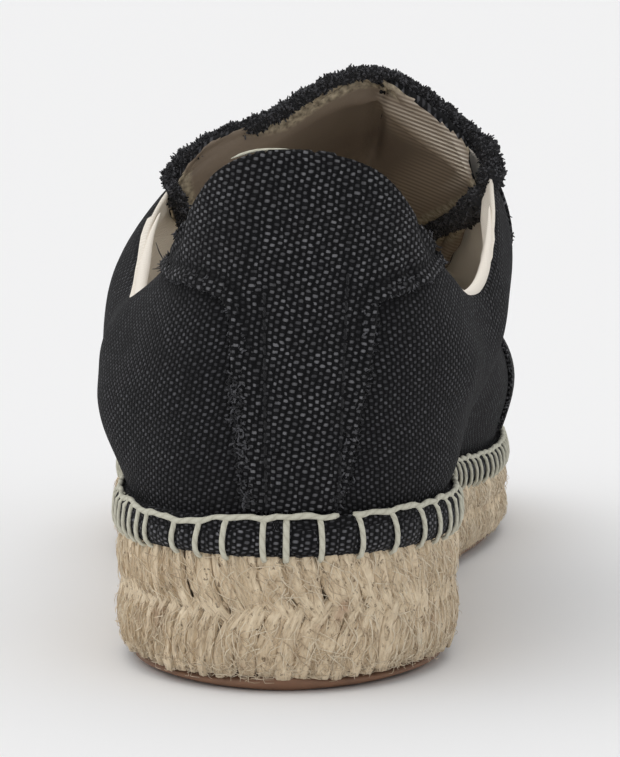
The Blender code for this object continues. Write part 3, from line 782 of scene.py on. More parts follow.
# %% Open the collar, and draw the wall in
RIM_OPENS = {-1: -0.4, 1: 1.3}  # mm, on the outer side and on the big toe's side
PADDING = {-1: 2.2, 1: 3.2}
rims = {}
points, normals = corners_of(upper)
beside_foot = (points[:, 1] > -122 * MM) & (points[:, 1] < -36 * MM)
rim_y = np.arange(-124, -32, 2.0) * MM
for side in (-1, 1):
    near = beside_foot & (points[:, 0] * side > 8 * MM)
    slices = [near & (np.abs(points[:, 1] - y) < 2.5 * MM) for y in rim_y]
    rims[side] = np.array([points[one, 2].max(initial=0) for one in slices])
    below = (np.interp(points[:, 1], rim_y, rims[side]) - points[:, 2]) / MM
    fade = np.clip((points[:, 1] / MM + 122) / 14, 0, 1) * np.clip((-38 - points[:, 1] / MM) / 10, 0, 1)
    open_by = RIM_OPENS[side] * np.clip(1 - np.clip(below, 0, None) / 9.0, 0, 1) ** 1.5
    looks_in = np.clip(-normals[:, 0] * side * 2, 0, 1) * np.clip((below - 2) / 4, 0, 1)
    padded_by = PADDING[side] * looks_in * np.exp(-((below - 9.0) / 5.0) ** 2)
    points[:, 0] += np.where(near, side * fade * (open_by - padded_by) * MM, 0)
move_corners(upper, points)


def held_in(point):
    """How much closer to the foot the cloth and the stitches lie along the outer ball, in metres."""
    there = np.interp(point[..., 1], [-60 * MM, -10 * MM, 60 * MM, 110 * MM], [0, 1, 1, 0])
    return np.where(point[..., 0] < 0, there, there * 0.3) * 1.2 * MM


spot, out, _ = place_on_edge(how_far_round(points))
low_down = np.clip(1 - (points[:, 2] - spot[:, 2] - 7 * MM) / (14 * MM), 0, 1)
points -= out * (held_in(spot) * low_down)[:, None]
move_corners(upper, points)
print("the collar's rim is up to", round(max(r.max() for r in rims.values()) / MM), "mm high")

# %% [markdown]
# ## A cloth map that unrolls the wall
#
# The weave has to run over the wall without a stretch or a seam. A UV map does that if it gives, for each
# place, how far it is round the wall and up it. The script measures both: it looks at the wall from
# outside at many places round and many heights, and adds up the steps between neighbours.


# %% Where the wall is
def surface(obj):
    """A tree for finding places on a mesh."""
    points, _ = corners_of(obj)
    return BVHTree.FromPolygons([Vector(p) for p in points], [tuple(p.vertices) for p in obj.data.polygons])


upper_surface = surface(upper)

BEYOND, LOOK = 60 * MM, 95 * MM  # a look starts this far outside the sole's edge, and goes this far


def on_wall(far, height, tree=None):
    """The place and normal that a level look from outside meets, that far round and that high."""
    point, out, _ = place_on_edge(far)
    start = point + out * BEYOND
    start[2] = height
    spot, normal, _, _ = (tree or upper_surface).ray_cast(Vector(start), Vector(-out), LOOK)
    return (np.array(spot), np.array(normal)) if spot is not None else (None, None)


FARS = np.arange(-0.5, 0.5, 1 / 260) * ROUND
HEIGHTS = np.arange(22, 108, 3.0) * MM
wall = np.full((len(HEIGHTS), len(FARS), 3), np.nan)
for j, far in enumerate(FARS):
    for i, height in enumerate(HEIGHTS):
        spot, _ = on_wall(far, height)
        below = wall[i - 1, j] if i else place_on_edge(far)[0]
        if spot is None or np.linalg.norm(spot - below) > 14 * MM:  # over the rim, so the map goes on up
            spot = below + (0, 0, HEIGHTS[1] - HEIGHTS[0])
        wall[i, j] = spot
middle = np.argmin(np.abs(FARS))
round_step = np.linalg.norm(np.diff(wall, axis=1, append=wall[:, -1:]), axis=2)
rise_step = np.linalg.norm(np.diff(wall, axis=0, append=wall[-1:]), axis=2)
round_at = np.nancumsum(round_step, axis=1)
round_at -= round_at[:, middle:middle + 1]
rise_at = np.vstack([np.zeros((1, len(FARS))), np.nancumsum(rise_step, axis=0)[:-1]])
print("the wall is measured at", wall.shape[0], "heights and", wall.shape[1], "places round")


# %% [markdown]
# Each corner of a mesh then reads its place on the unrolled cloth from those two tables, between the nearest
# measured places. On the vamp, which is nearly level, the cloth simply lies flat.


# %% Cloth map
def corner_order(obj):
    """Which corner of the mesh each corner of its faces is."""
    order = np.empty(len(obj.data.loops), int)
    obj.data.loops.foreach_get("vertex_index", order)
    return order


def set_cloth_map(obj, uv):
    """Gives a mesh its cloth map from one place in metres for each corner of its faces."""
    layers = obj.data.uv_layers
    (layers.get("cloth") or layers.new(name="cloth")).data.foreach_set("uv", uv.ravel())


def cloth_map(obj, lean=0.0):
    """A cloth map that unrolls the wall. Lean is how far the upright yarns lean back to the heel."""
    points, _ = corners_of(obj)
    far = how_far_round(points)
    column = np.clip((far - FARS[0]) / (FARS[1] - FARS[0]), 0, len(FARS) - 1.001)
    row = np.clip((points[:, 2] - HEIGHTS[0]) / (HEIGHTS[1] - HEIGHTS[0]), 0, len(HEIGHTS) - 1.001)
    c, r = column.astype(int), row.astype(int)
    pc, pr = column - c, row - r

    def read(table):
        return ((table[r, c] * (1 - pc) + table[r, c + 1] * pc) * (1 - pr)
                + (table[r + 1, c] * (1 - pc) + table[r + 1, c + 1] * pc) * pr)

    u, v = read(round_at), read(rise_at)
    u = u + v * np.where(u < 0, -1.3, 0.7) * lean
    order = corner_order(obj)
    uv = np.column_stack([u, v])[order]
    on_top = []  # the vamp is nearly level, so its cloth lies flat
    for p in obj.data.polygons:
        on_top.extend([p.center.y > 30 * MM and abs(p.normal.z) > 0.62] * len(p.vertices))
    on_top = np.array(on_top)
    uv[on_top] = points[order][on_top, :2]
    set_cloth_map(obj, uv)


cloth_map(upper, 0.2)
print("the cloth map has", len(corner_order(upper)), "corners")

# %% [markdown]
# ## Canvas outside, lining inside
#
# The wall is one closed shell, so each of its faces is either canvas or lining. A face that looks at the
# foot is lining, except at the raw edges of the throat and just above the sole. The collar's rim is bound,
# so there the lining comes over the top.


# %% Canvas and lining
def centres_and_normals(obj):
    """The middle and the normal of each face."""
    faces = obj.data.polygons
    return np.array([p.center[:] for p in faces]), np.array([p.normal[:] for p in faces])


for finish in (quarter_canvas, cream_lining):
    upper.data.materials.append(finish)
centres, normals = centres_and_normals(upper)
away = from_core(centres)
inward = (away * normals).sum(axis=1) < 0
away /= np.linalg.norm(away, axis=1)[:, None]
turned_in = -(away * normals).sum(axis=1)
inward &= ~((centres[:, 1] > -34 * MM) & (turned_in < 0.35))  # the throat's raw edge has no lining
foot_edge, _, _ = place_on_edge(how_far_round(centres))
inward &= ~((centres[:, 2] < foot_edge[:, 2] + 9 * MM) & (turned_in < 0.6))
for side in (-1, 1):
    rim = np.interp(centres[:, 1], rim_y, rims[side]) - centres[:, 2] < 1.8 * MM
    rim &= (centres[:, 0] * side > 8 * MM) & (centres[:, 1] > -121 * MM) & (centres[:, 1] < -40 * MM)
    inward = np.where(rim, normals[:, 0] * side < 0.5, inward)
upper.data.polygons.foreach_set("material_index", inward.astype(int))
print("lining faces:", int(inward.sum()), "of", len(inward))

# %% [markdown]
# ## The overlays
#
# The heel tab with its back strip, the facing along the throat and the toe guard are second layers of
# canvas, sewn on. After smoothing, each is laid on the smoothed upper again: a corner that looks away
# from the upper goes a cloth's thickness above it, and one that looks at it goes just under its surface.


# %% Helpers for overlays
def softened(row):
    """A softened copy of an open row of points."""
    row = np.array(row)
    for _ in range(3):
        row[1:-1] = (row[:-2] + row[1:-1] * 2 + row[2:]) / 4
    return row


def lay_on(obj, tree, above, below):
    """Lays an overlay on a surface, and gives the places, outward ways and surface normals of its edge."""
    points, normals = corners_of(obj)
    edge = []
    for k, (point, normal) in enumerate(zip(points, normals)):
        spot, face, _, _ = tree.find_nearest(Vector(point))
        face = np.array(face)
        look = float(np.dot(normal, face))
        off = (above + below) / 2 + (above - below) / 2 * np.clip(look * 1.4, -1, 1)
        points[k] = np.array(spot) + face * off
        if abs(look) < 0.55:
            way = normal - face * look
            edge.append((points[k].copy(), way / np.linalg.norm(way), face))
    move_corners(obj, points)
    return edge


ABOVE, BELOW = 1.0 * MM, -0.5 * MM  # the overlays' outer and inner faces, from the upper's surface
heel_tab = form_of("heel_overlay", "heel_tab", 3)
facing = form_of("facing", "throat_facing", 2)
guard = form_of("toe_guard", "toe_guard_canvas", 2)

# %% [markdown]
# The heel tab's wings are drawn up a little and end short of the model's, and its shoulders swell as the
# upper's do. Only then is it laid on.

# %% Lay the overlays on
points, _ = corners_of(heel_tab)
wing = np.clip((-1.5 * MM - points[:, 0]) / (4 * MM), 0, 1)
wing += np.clip((points[:, 0] - 13.5 * MM) / (4 * MM), 0, 1)
below_top = np.clip((92 * MM - points[:, 2]) / (10 * MM), 0, 1)
points[:, 2] += 2.6 * MM * wing * below_top * (points[:, 2] > 62 * MM)
short = np.where(points[:, 0] > 0, 0.30, 0.25)
points[:, 1] -= np.clip(points[:, 1] + 124 * MM, 0, None) * short
move_corners(heel_tab, points)
for around, reach, shift in TAB_SHOULDERS:
    nudge(heel_tab, around, reach, shift)
raw_edges = {}
for overlay in (heel_tab, facing, guard):
    raw_edges[overlay.name] = lay_on(overlay, upper_surface, ABOVE, BELOW)
    cloth_map(overlay)
    overlay.data.materials.append(tab_canvas)
points, _ = corners_of(facing)
flat_map = np.empty((len(points), 2))
for side in (-1, 1):  # each half of the facing is nearly flat, so its cloth is laid flat on it
    half = points[:, 0] * side > 0
    ahead_way = np.array((0.0, 0.87, -0.49))
    up_way = np.cross((side * 0.62, 0.35, 0.70), ahead_way)
    up_way /= np.linalg.norm(up_way)
    flat_map[half] = np.column_stack([points[half] @ ahead_way, points[half] @ up_way])
set_cloth_map(facing, flat_map[corner_order(facing)])
print("corners on raw edges:", {name: len(edge) for name, edge in raw_edges.items()})

# %% [markdown]
# ## Seams and folds of the heel tab
#
# Two rows of stitches run down the back strip, and each pulls the cloth in to a shallow groove. Beside the
# neck of the T, the wings fold. The places are given as seen from behind, by x and z, and a look from
# behind finds them on the cloth.

# %% Seams and folds
SEAMS = [((-2.7, 36), (-3.0, 76)), ((10.9, 36), (12.6, 80))]  # the two seams: x and z of their ends
NECK_FOLDS = [((18.5, 83), (21.5, 76)), ((22.5, 82), (25, 76)), ((15.5, 79), (17, 75))]
FAR_BEHIND = -0.3  # where a look from behind starts, in metres
tab_surface = surface(heel_tab)


def from_behind(x, z, tree):
    """The place and normal that a level look from behind the heel meets."""
    spot, normal, _, _ = tree.ray_cast(Vector((x, FAR_BEHIND, z)), Vector((0, 1, 0)))
    return np.array(spot), np.array(normal)


for low, high in SEAMS:
    row = [from_behind(low[0] * MM + (high[0] - low[0]) * MM * t, low[1] * MM + (high[1] - low[1]) * MM * t,
                       tab_surface)[0] / MM for t in np.linspace(0, 1, 6)]
    press(heel_tab, [(row[k], row[k + 1], 0.9, 0.6) for k in range(5)])
for first, last in NECK_FOLDS:
    ends = [from_behind(x * MM, z * MM, upper_surface)[0] / MM for x, z in (first, last)]
    for cloth in (heel_tab, upper):
        press(cloth, [(*ends, 0.9, 1.0)])
print("pressed in:", len(SEAMS), "seams and", len(NECK_FOLDS), "folds")

# %% [markdown]
# Seams and edges stay black: the cloth in a seam, the row that holds the wings down, and the strip of the
# quarters just under the tab's edge lose their grey dots. That is partly cloth that wear has spared and
# partly painted shade in the grooves, and under the tab's edge painted shadow. The distance to the tab's
# lower edge also gives the edge its small swell and the row beside it its groove.


# %% Painted shade and unworn cloth beside seams and edges
points, _ = corners_of(heel_tab)
# Painted shade in the seams' grooves and along the row by the tab's edge, partly unworn cloth.
seam_unworn_and_shade = np.zeros(len(points))
for low, high in SEAMS:
    line_x = np.interp(points[:, 2] / MM, [low[1], high[1]], [low[0], high[0]])
    ends_at, over = (80, 8) if low[0] < 0 else (90, 6)
    fade = np.clip((ends_at - points[:, 2] / MM) / over, 0, 1)
    seam_unworn_and_shade = np.maximum(seam_unworn_and_shade, fade * 0.6 * np.exp(-((points[:, 0] / MM - line_x) / 1.0) ** 2))
lower_edge = np.array([e[0] for e in raw_edges["heel_tab"] if e[1][2] < 0.3])[::2]


def from_lower_edge(obj):
    """How far each corner is from the heel tab's lower and side edges, in mm."""
    corners, _ = corners_of(obj)
    near = np.full(len(corners), 99.0)
    close = np.nonzero(corners[:, 1] < -85 * MM)[0]
    for k in close:
        near[k] = math.sqrt(((lower_edge - corners[k]) ** 2).sum(axis=1).min()) / MM
    return near


EDGE_ROW = 3.2  # mm from the edge to the row that holds the wings down
near = from_lower_edge(heel_tab)
seam_unworn_and_shade = np.maximum(seam_unworn_and_shade, np.exp(-((near - EDGE_ROW) / 0.8) ** 2) * (points[:, 2] > 66 * MM))
heel_tab.data.attributes.new("unworn_and_painted_shade", "FLOAT", "POINT").data.foreach_set("value", seam_unworn_and_shade * 0.85)
# Painted shadow on the quarters just under the tab's edge, partly unworn cloth.
unworn_and_shadow_under_edge = np.exp(-(from_lower_edge(upper) / 2.2) ** 2)
unworn_and_shadow_under_edge *= np.where(corners_of(upper)[0][:, 2] > 72 * MM, 0.9, 0.3)
upper.data.attributes.new("unworn_and_painted_shade", "FLOAT", "POINT").data.foreach_set("value", unworn_and_shadow_under_edge)
points, normals = corners_of(heel_tab)
above_wall = np.array([upper_surface.find_nearest(Vector(p))[3] for p in points]) > 0.4 * MM
ridge = 0.45 * np.exp(-((near - 0.9) / 0.9) ** 2) - 0.4 * np.exp(-((near - EDGE_ROW) / 0.9) ** 2)
points += normals * (ridge * above_wall * (points[:, 2] > 64 * MM) * MM)[:, None]
move_corners(heel_tab, points)
print("corners near the tab's edge:", int((near < EDGE_ROW).sum()))

# %% [markdown]
# ## The collar's binding
#
# From the tab's wing forward to the throat, the lining is turned over the rim and makes a narrow, soft roll.
# A roll is a long thread that follows the rim and thins out at both ends.

# %% Bind the collar
binding_form = straight_form(10, even_rings(40, 0.2))
points, _ = corners_of(upper)
copies = []
for side in (-1, 1):
    row = []
    for y in np.arange(-112, -54, 2.5) * MM:
        near = points[(np.abs(points[:, 1] - y) < 2.5 * MM) & (points[:, 0] * side > 8 * MM)]
        top = near[near[:, 2] > near[:, 2].max() - 1.2 * MM]
        row.append((top[:, 0].mean() - side * 0.9 * MM, y, near[:, 2].max() - 1.0 * MM))
    row = softened(softened(row))
    thick = np.interp(np.arange(len(row)), [0, 4, len(row) - 9, len(row) - 1], [0.3, 1.3, 1.2, 0.2]) * MM
    copies.append(laid(binding_form, row, (1.0, 0, 0), thick, thick))
piece_of("collar_binding", binding_form, copies, cream_binding)

# %% [markdown]
# On top of the heel tab the lining's edge just shows, as a thin pale line behind the canvas.

# %% The lining's edge at the tab's top
points, _ = corners_of(heel_tab)
row = []
for x in np.linspace(-9.5, 2.0, 24):
    near = points[(np.abs(points[:, 0] - x * MM) < 1.6 * MM) & (points[:, 1] < -120 * MM)]
    top = near[near[:, 2].argmax()]
    row.append((x * MM, top[1] + 0.7 * MM, top[2] - (0.05 + 0.02 * abs(x + 4)) * MM))
edging_form = straight_form(8, [(0.0, 0.2), (0.15, 0.9), (0.3, 1.0), (0.45, 1.0), (0.6, 1.0), (0.75, 1.0),
                                (0.9, 0.8), (1.0, 0.2)])
edging = laid(edging_form, softened(row), (0, -1.0, 0), 0.3 * MM, 0.5 * MM)
piece_of("lining_edge", edging_form, [edging], ecru_thread)

# %% [markdown]
# ## The tongue
#
# The tongue is canvas outside and a brown lining inside, folded along its middle into a peak. The model's
# upright edge meets the rest of it at a sharp angle, and cloth bends softly, so Vertices Smooth rounds that
# stretch. Its outer corner flares out a little, and the fold is pressed in again afterwards.

# %% The tongue
tongue = form_of("tongue", "tongue_cloth", 2)
points, _ = corners_of(tongue)
corner = np.clip((-12 * MM - points[:, 0]) / (10 * MM), 0, 1)
corner *= np.clip((points[:, 2] - 80 * MM) / (8 * MM), 0, 1)
corner *= np.clip((points[:, 1] + 60 * MM) / (10 * MM), 0, 1)
points[:, 0] -= corner * np.where(points[:, 1] < -25 * MM, 2.8 * MM, 0)
move_corners(tongue, points)
only(tongue)
bpy.ops.object.mode_set(mode="EDIT")
bpy.ops.mesh.select_all(action="DESELECT")
bm = bmesh.from_edit_mesh(tongue.data)
for v in bm.verts:
    x, y, z = (c / MM for c in v.co)
    peak = np.interp(x, [-28, -17, 0, 14, 27, 40], [90, 101, 108, 114, 109.5, 97])
    v.select_set(-48 < y < -14 and 80 < z < peak - 2.5)
bm.select_flush(True)
bpy.ops.mesh.vertices_smooth(factor=0.5, repeat=40)
bpy.ops.object.mode_set(mode="OBJECT")
nudge(tongue, (-9, -41, 107), 15, (0, 0, -1.6))
tongue_surface = surface(tongue)
FOLD = ((16.6, 112), (16.4, 108.5), (16.2, 105), (15.8, 101.5), (15.2, 98), (14.4, 94.5))
fold = [from_behind(x * MM, z * MM, tongue_surface)[0] / MM for x, z in FOLD]
press(tongue, [(fold[k], fold[k + 1], 1.2, -2.6) for k in range(5)]
      + [((-6, -40, 103), (-16, -38, 88), 4.0, 0.6), ((26, -40, 104), (22, -36, 86), 4.5, 0.8)])
print("the tongue's peak is", round(corners_of(tongue)[0][:, 2].max() / MM), "mm above the floor")

# %% [markdown]
# ## Where the fringe runs
#
# The tongue's border is a roll of frayed yarn. Its middle is a line from the foot of the outer side over the
# peak, then down on the big toe's side and forward along the lining. Three measures are kept on the mesh for
# the lining's material: how far a corner is from the fringe, how far along it, and on which side.

# %% The fringe's line
FRINGE_LINE = np.array([
    (-24.2, -43.5, 82.0), (-25.2, -46.0, 86.0), (-26.8, -45.6, 89.8), (-27.6, -44.0, 92.9),
    (-25.8, -43.0, 96.0), (-22.6, -42.0, 98.6), (-16.7, -41.0, 101.8), (-9.6, -41.0, 104.2),
    (-4.2, -41.0, 106.5), (1.2, -41.0, 110.0), (6.5, -40.0, 113.0), (11.8, -39.8, 114.8),
    (15.0, -39.5, 115.1), (20.5, -39.5, 113.9), (26.0, -39.5, 110.6), (31.3, -41.0, 106.6),
    (35.6, -42.0, 102.8), (40.0, -43.0, 99.2), (41.4, -43.5, 95.2), (40.6, -44.0, 90.8),
    (38.4, -42.0, 87.0), (35.2, -27.0, 83.4), (31.7, -12.0, 80.6), (27.6, -1.5, 78.0),
    (22.0, 8.0, 75.4)]) * MM
line_far = far_along(FRINGE_LINE)
line_fine = np.arange(0, line_far[-1], 0.25 * MM)
line_points = read_row(line_fine, line_far, FRINGE_LINE)
points, _ = corners_of(tongue)
from_fringe, along_fringe = np.empty(len(points)), np.empty(len(points))
for k, point in enumerate(points):
    apart = ((line_points - point) ** 2).sum(axis=1)
    nearest = int(np.argmin(apart))
    from_fringe[k], along_fringe[k] = math.sqrt(apart[nearest]) / MM, line_fine[nearest] / MM
for name, values in (("from_fringe", from_fringe), ("along_fringe", along_fringe),
                     ("big_toe_side", (points[:, 0] / MM - 15.5) / 6.0)):
    tongue.data.attributes.new(name, "FLOAT", "POINT").data.foreach_set("value", values)
unrolled = np.column_stack([points[:, 0], points[:, 2] * 0.8 - points[:, 1] * 0.6])
set_cloth_map(tongue, unrolled[corner_order(tongue)])
print("the fringe is", round(line_far[-1] / MM), "mm long")

# %% [markdown]
# ## The tongue's lining
#
# The lining is a smooth brown cloth, painted darker further from the fringe as shade deeper in the shoe.
# Along the upper edge on the big toe's side runs a strip of ribbed satin, whose pale ribs are a painted
# highlight, and just inside the fringe the edge is overcast with beige thread. Each of them is a mask between
# two values of a measure, and one colour is laid over the other through it.


# %% Masks for the tongue
def measure(tree, name):
    """A number kept on the mesh."""
    return node_in(tree, "ShaderNodeAttribute", attribute_name=name).outputs["Fac"]


def band(tree, value, low, high, soft):
    """A mask that is 1 between low and high."""
    rise = share_of(tree, value, low - soft, low + soft, interpolation_type="SMOOTHSTEP")
    fall = share_of(tree, value, high + soft, high - soft, interpolation_type="SMOOTHSTEP")
    return calc(tree, "MULTIPLY", rise, fall)


tongue_lining, tree, shader = new_material("tongue_lining")
uv = node_in(tree, "ShaderNodeUVMap", uv_map="cloth").outputs[0]
edge_by, edge_at, side = (measure(tree, name) for name in ("from_fringe", "along_fringe", "big_toe_side"))
where = node_in(tree, "ShaderNodeTexCoord").outputs["Object"]
place = node_in(tree, "ShaderNodeSeparateXYZ", Vector=where)
rib_at = calc(tree, "MULTIPLY_ADD", place.outputs[0], 0.34, calc(tree, "MULTIPLY", place.outputs[2], 0.94))
ribs = calc(tree, "SINE", calc(tree, "MULTIPLY", rib_at, 2 * math.pi / (0.82 * MM)))
ribs = calc(tree, "MULTIPLY_ADD", ribs, 0.5, 0.5)
# The strip is where the satin lies and where its painted highlight is drawn.
strip = calc(tree, "MULTIPLY", band(tree, edge_by, 5.0, 7.4, 1.5), band(tree, side, 0.35, 20.0, 0.35))
height_mm = calc(tree, "DIVIDE", place.outputs[2], MM)
strip = calc(tree, "MULTIPLY", strip, band(tree, height_mm, 91.0, 200.0, 4.0))
strip = calc(tree, "MULTIPLY", strip, share_of(tree, edge_at, 68.0, 90.0, To_Min=0.3))
near_strip = calc(tree, "MULTIPLY", band(tree, edge_by, 4.0, 15.0, 4.0), band(tree, side, 0.3, 20.0, 0.3))
print("masks of the tongue's lining: strip, near_strip")

# %% [markdown]
# With the masks ready, the colours are laid on one by one, from the plain cloth to the dark edge.

# %% The tongue's lining
BROWN = (0.20, 0.155, 0.115)
# Painted shade: the lining darkens further from the fringe, deeper in the shoe.
cloth = blend_of(tree, share_of(tree, edge_by, 4.0, 26.0), BROWN, (0.135, 0.100, 0.072))
blotches = calc(tree, "MULTIPLY_ADD", noise(tree, uv, 70.0, 3.0), 0.9, -0.3, clamp=True)
cloth = blend_of(tree, blotches, cloth, (0.24, 0.19, 0.14))
# Painted light: near the strip the ribs' crests are lighter than their hollows.
cloth = blend_of(tree, near_strip, cloth, blend_of(tree, ribs, BROWN, (0.36, 0.29, 0.22)))
# Painted highlight: the satin's rib crests are pale cream in colour, its hollows dark brown.
satin_with_painted_highlight = blend_of(tree, calc(tree, "POWER", ribs, 1.4), (0.22, 0.17, 0.13), (0.92, 0.84, 0.72))
cloth = blend_of(tree, strip, cloth, satin_with_painted_highlight)
tufts = calc(tree, "MULTIPLY_ADD", noise(tree, uv, 900.0, 3.0), 2.4, -0.7, clamp=True)
overcast = blend_of(tree, tufts, (0.09, 0.07, 0.045), (0.58, 0.50, 0.36))
cloth = blend_of(tree, calc(tree, "MULTIPLY", band(tree, edge_by, 1.4, 4.1, 0.6), 0.85), cloth, overcast)
cloth = blend_of(tree, band(tree, edge_by, -3.0, 1.9, 0.3), cloth, (0.012, 0.012, 0.013))
plug(tree, shader.inputs["Base Color"], cloth)
plug(tree, shader.inputs["Roughness"], calc(tree, "MULTIPLY_ADD", strip, -0.35, 0.8))
grain = calc(tree, "MULTIPLY", noise(tree, uv, 1400.0, 2.0), 0.35)
bumped(tree, shader, calc(tree, "MULTIPLY_ADD", calc(tree, "MULTIPLY", ribs, strip), 1.0, grain), 0.3 * MM)
for finish in (quarter_canvas, tongue_lining):
    tongue.data.materials.append(finish)
ANKLE = np.array((6.0, -75.0, 60.0)) * MM
centres, normals = centres_and_normals(tongue)
inward = ((ANKLE - centres) * normals).sum(axis=1) > 0
tongue.data.polygons.foreach_set("material_index", inward.astype(int))
print("lining faces of the tongue:", int(inward.sum()), "of", len(inward))

# %% [markdown]
# ## The footbed and the sole's solids
#
# The footbed lies inside on the sole and is covered with cloth. The rubber under the jute is put out to
# where the jute's strands will bulge to, so that both end flush. The jute sole's own solid becomes a dark
# core, painted as the shadow between the strands: it is drawn in behind the strands that the next step lays
# on it, and only shows between them.

# %% Footbed, rubber and core
footbed = form_of("insole", "footbed", 1, 0)
points, _ = corners_of(footbed)
set_cloth_map(footbed, points[corner_order(footbed)][:, :2])
footbed.data.materials.append(footbed_cloth)


def out_from_edge(points):
    """How far out from the sole's edge each point is, and the outward direction there."""
    spot, out, _ = place_on_edge(how_far_round(points))
    return ((points - spot)[:, :2] * out[:, :2]).sum(axis=1), out[:, :2]


rubber = form_of("outsole", "rubber_sole", 1, 0)
points, _ = corners_of(rubber)
reach, out = out_from_edge(points)
points[:, :2] += out * (np.clip(1 + reach / (6 * MM), 0, 1) * 1.1 * MM)[:, None]
move_corners(rubber, points)
rubber.data.materials.append(brown_rubber)

# The core is painted dark, as the shadow between the strands.
core = form_of("midsole", "jute_core_painted_shadow", 0)
points, _ = corners_of(core)
reach, out = out_from_edge(points)
points[:, :2] -= out * np.clip(reach + 4.5 * MM, 0, None)[:, None] * 0.5
move_corners(core, points)
core.data.materials.append(jute_shadow)

# %% [markdown]
# ## The jute plaits
#
# The sole's side is two plaits of jute, one above the other. In each, strands come out at its upper edge,
# bulge, and dive in again at its lower edge. In the upper plait they drift along the sole as they fall, and
# in the lower one they drift back, so that the two meet in arrowheads.

# %% Strands
strand_form = straight_form(22, [(0.0, 0.7), (0.07, 0.9), (0.18, 1.0), (0.32, 1.03), (0.46, 1.0), (0.6, 1.02),
                                 (0.74, 1.0), (0.88, 0.95), (1.0, 0.75)], ridge=0.82)
dice = random.Random(11)


def plait(name, top_share, low_share, drift_of, width, taper):
    """One plait. Its strands' ends are shares of the jute's height, and drift_of gives how far they have
    drifted round the sole, in mm, at each share of their length."""
    widths = [width * dice.uniform(0.62, 1.4) for _ in range(round(ROUND / MM / width))]
    scale = ROUND / sum(widths)
    copies, far = [], 0.0
    for broad in (w * scale for w in widths):
        along = np.linspace(0, 1, 10)
        middle = far + broad / 2
        where = middle + drift_of(along) * dice.uniform(0.65, 1.3) * MM + dice.uniform(-0.4, 0.4) * MM * along
        point, out, ground = place_on_edge(where)
        low, top = ground + RUBBER, point[:, 2]
        share = top_share + (low_share - top_share) * along + dice.uniform(-0.03, 0.03)
        bulge = np.sin(math.pi * np.clip(0.1 + 0.82 * along, 0, 1)) ** 0.35
        depth = (-3.0 + 2.0 * bulge + dice.uniform(-0.25, 0.15)) * MM
        path = point + out * depth[:, None]
        path[:, 2] = low + (top - low) * share
        wide = broad * dice.uniform(0.54, 0.62) * np.interp(along, [0, 0.2, 0.6, 0.8, 1], taper)
        thick = dice.uniform(1.05, 1.3) * MM * np.interp(along, [0, 0.2, 0.8, 1], [0.9, 1.0, 1.0, 0.9])
        turn = dice.uniform(-0.1, 0.5)
        tilted = out * math.cos(turn) + np.cross(out, (0, 0, 1.0)) * math.sin(turn)
        copies.append(laid(strand_form, path, tilted, wide, thick))
        far += broad
    return piece_of(name, strand_form, copies, jute)


plait("jute_upper_plait", 1.05, 0.38, lambda t: 1.6 * t + 5.6 * t ** 3, 3.5, (1.0, 1.08, 0.95, 0.7, 0.4))
plait("jute_lower_plait", 0.60, -0.04, lambda t: 4.8 * (1 - t) ** 3 + 0.5 * (1 - t) - 1.0, 3.2,
      (0.5, 0.85, 1.05, 1.05, 1.05))

# %% [markdown]
# ## The jute's nap
#
# Jute is hairy. Most hairs lie flat on the strands and half hide them, some stand off, and many hang out
# along the lower edge, over the rubber. Each is one bent fibre with three sides, and follows the bulge of
# the plaits.

# %% Loose fibres
fibre_form = straight_form(3, [(0.0, 1.0), (0.25, 1.0), (0.5, 0.9), (0.75, 0.7), (1.0, 0.3)], open_end=True)


def fibre(far, share, length, lean, lift, thick):
    """One fibre that lies on the jute there, bent, with its middle lifted off."""
    bow = dice.uniform(-1.4, 1.4) * MM
    along = np.linspace(0, 1, 6)
    where = far + math.sin(lean) * length * (along - 0.5) + bow * np.sin(math.pi * along)
    point, out, ground = place_on_edge(where)
    low, top = ground + RUBBER, point[:, 2]
    height = low + (top - low) * share - math.cos(lean) * length * (along - 0.5)
    height = np.clip(height, ground + dice.choice((2.4, 2.2, 1.9, 1.2)) * MM, top + 0.2 * MM)
    level = np.clip((height - low) / (top - low), 0, 1)
    puff = np.abs(np.sin(2 * math.pi * level)) ** 0.5
    depth = (-1.35 + 1.75 * puff) * MM + lift * np.sin(math.pi * along * dice.uniform(0.55, 1.0))
    path = point + out * depth[:, None]
    path[:, 2] = height
    return laid(fibre_form, path, out, thick, thick)


nap, loose = [], []
for k in range(6600):  # flat on the strands, which it half hides
    share = dice.uniform(-0.03, 1.0)
    lean = dice.gauss(0.0, 0.55) + (0.45 if share > 0.45 else -0.1)
    nap.append(fibre(dice.uniform(0, ROUND), share, dice.uniform(2.0, 6.0) * MM, lean,
                     dice.uniform(0.0, 0.3) * MM, dice.uniform(0.08, 0.15) * MM))
for k in range(1700):  # loose ones
    share = dice.choice((dice.uniform(0.0, 1.0), dice.uniform(-0.1, 0.15)))
    loose.append(fibre(dice.uniform(0, ROUND), share, dice.uniform(1.5, 5.5) * MM, dice.uniform(-1.6, 1.6),
                       dice.uniform(0.2, 1.1) * MM, dice.uniform(0.045, 0.08) * MM))
for k in range(2600):  # and a fringe along the lower edge, over the rubber
    loose.append(fibre(dice.uniform(0, ROUND), dice.uniform(-0.05, 0.05), dice.uniform(1.0, 2.8) * MM,
                       dice.choice((-1, 1)) * dice.uniform(0.3, 1.55), dice.uniform(0.0, 0.6) * MM,
                       dice.uniform(0.06, 0.11) * MM))
piece_of("jute_nap", fibre_form, nap, jute_fibre)
piece_of("jute_fibres", fibre_form, loose, jute_fibre)

# %% [markdown]
# ## The sewn margin and the blanket stitch
#
# The canvas is turned under and sewn on the sole through its margin. Every stitch pulls the cloth in, and
# between stitches it puffs out. So the margin is a narrow sheet bent round the sole, and its swell depends
# on how far the nearest stitch is.

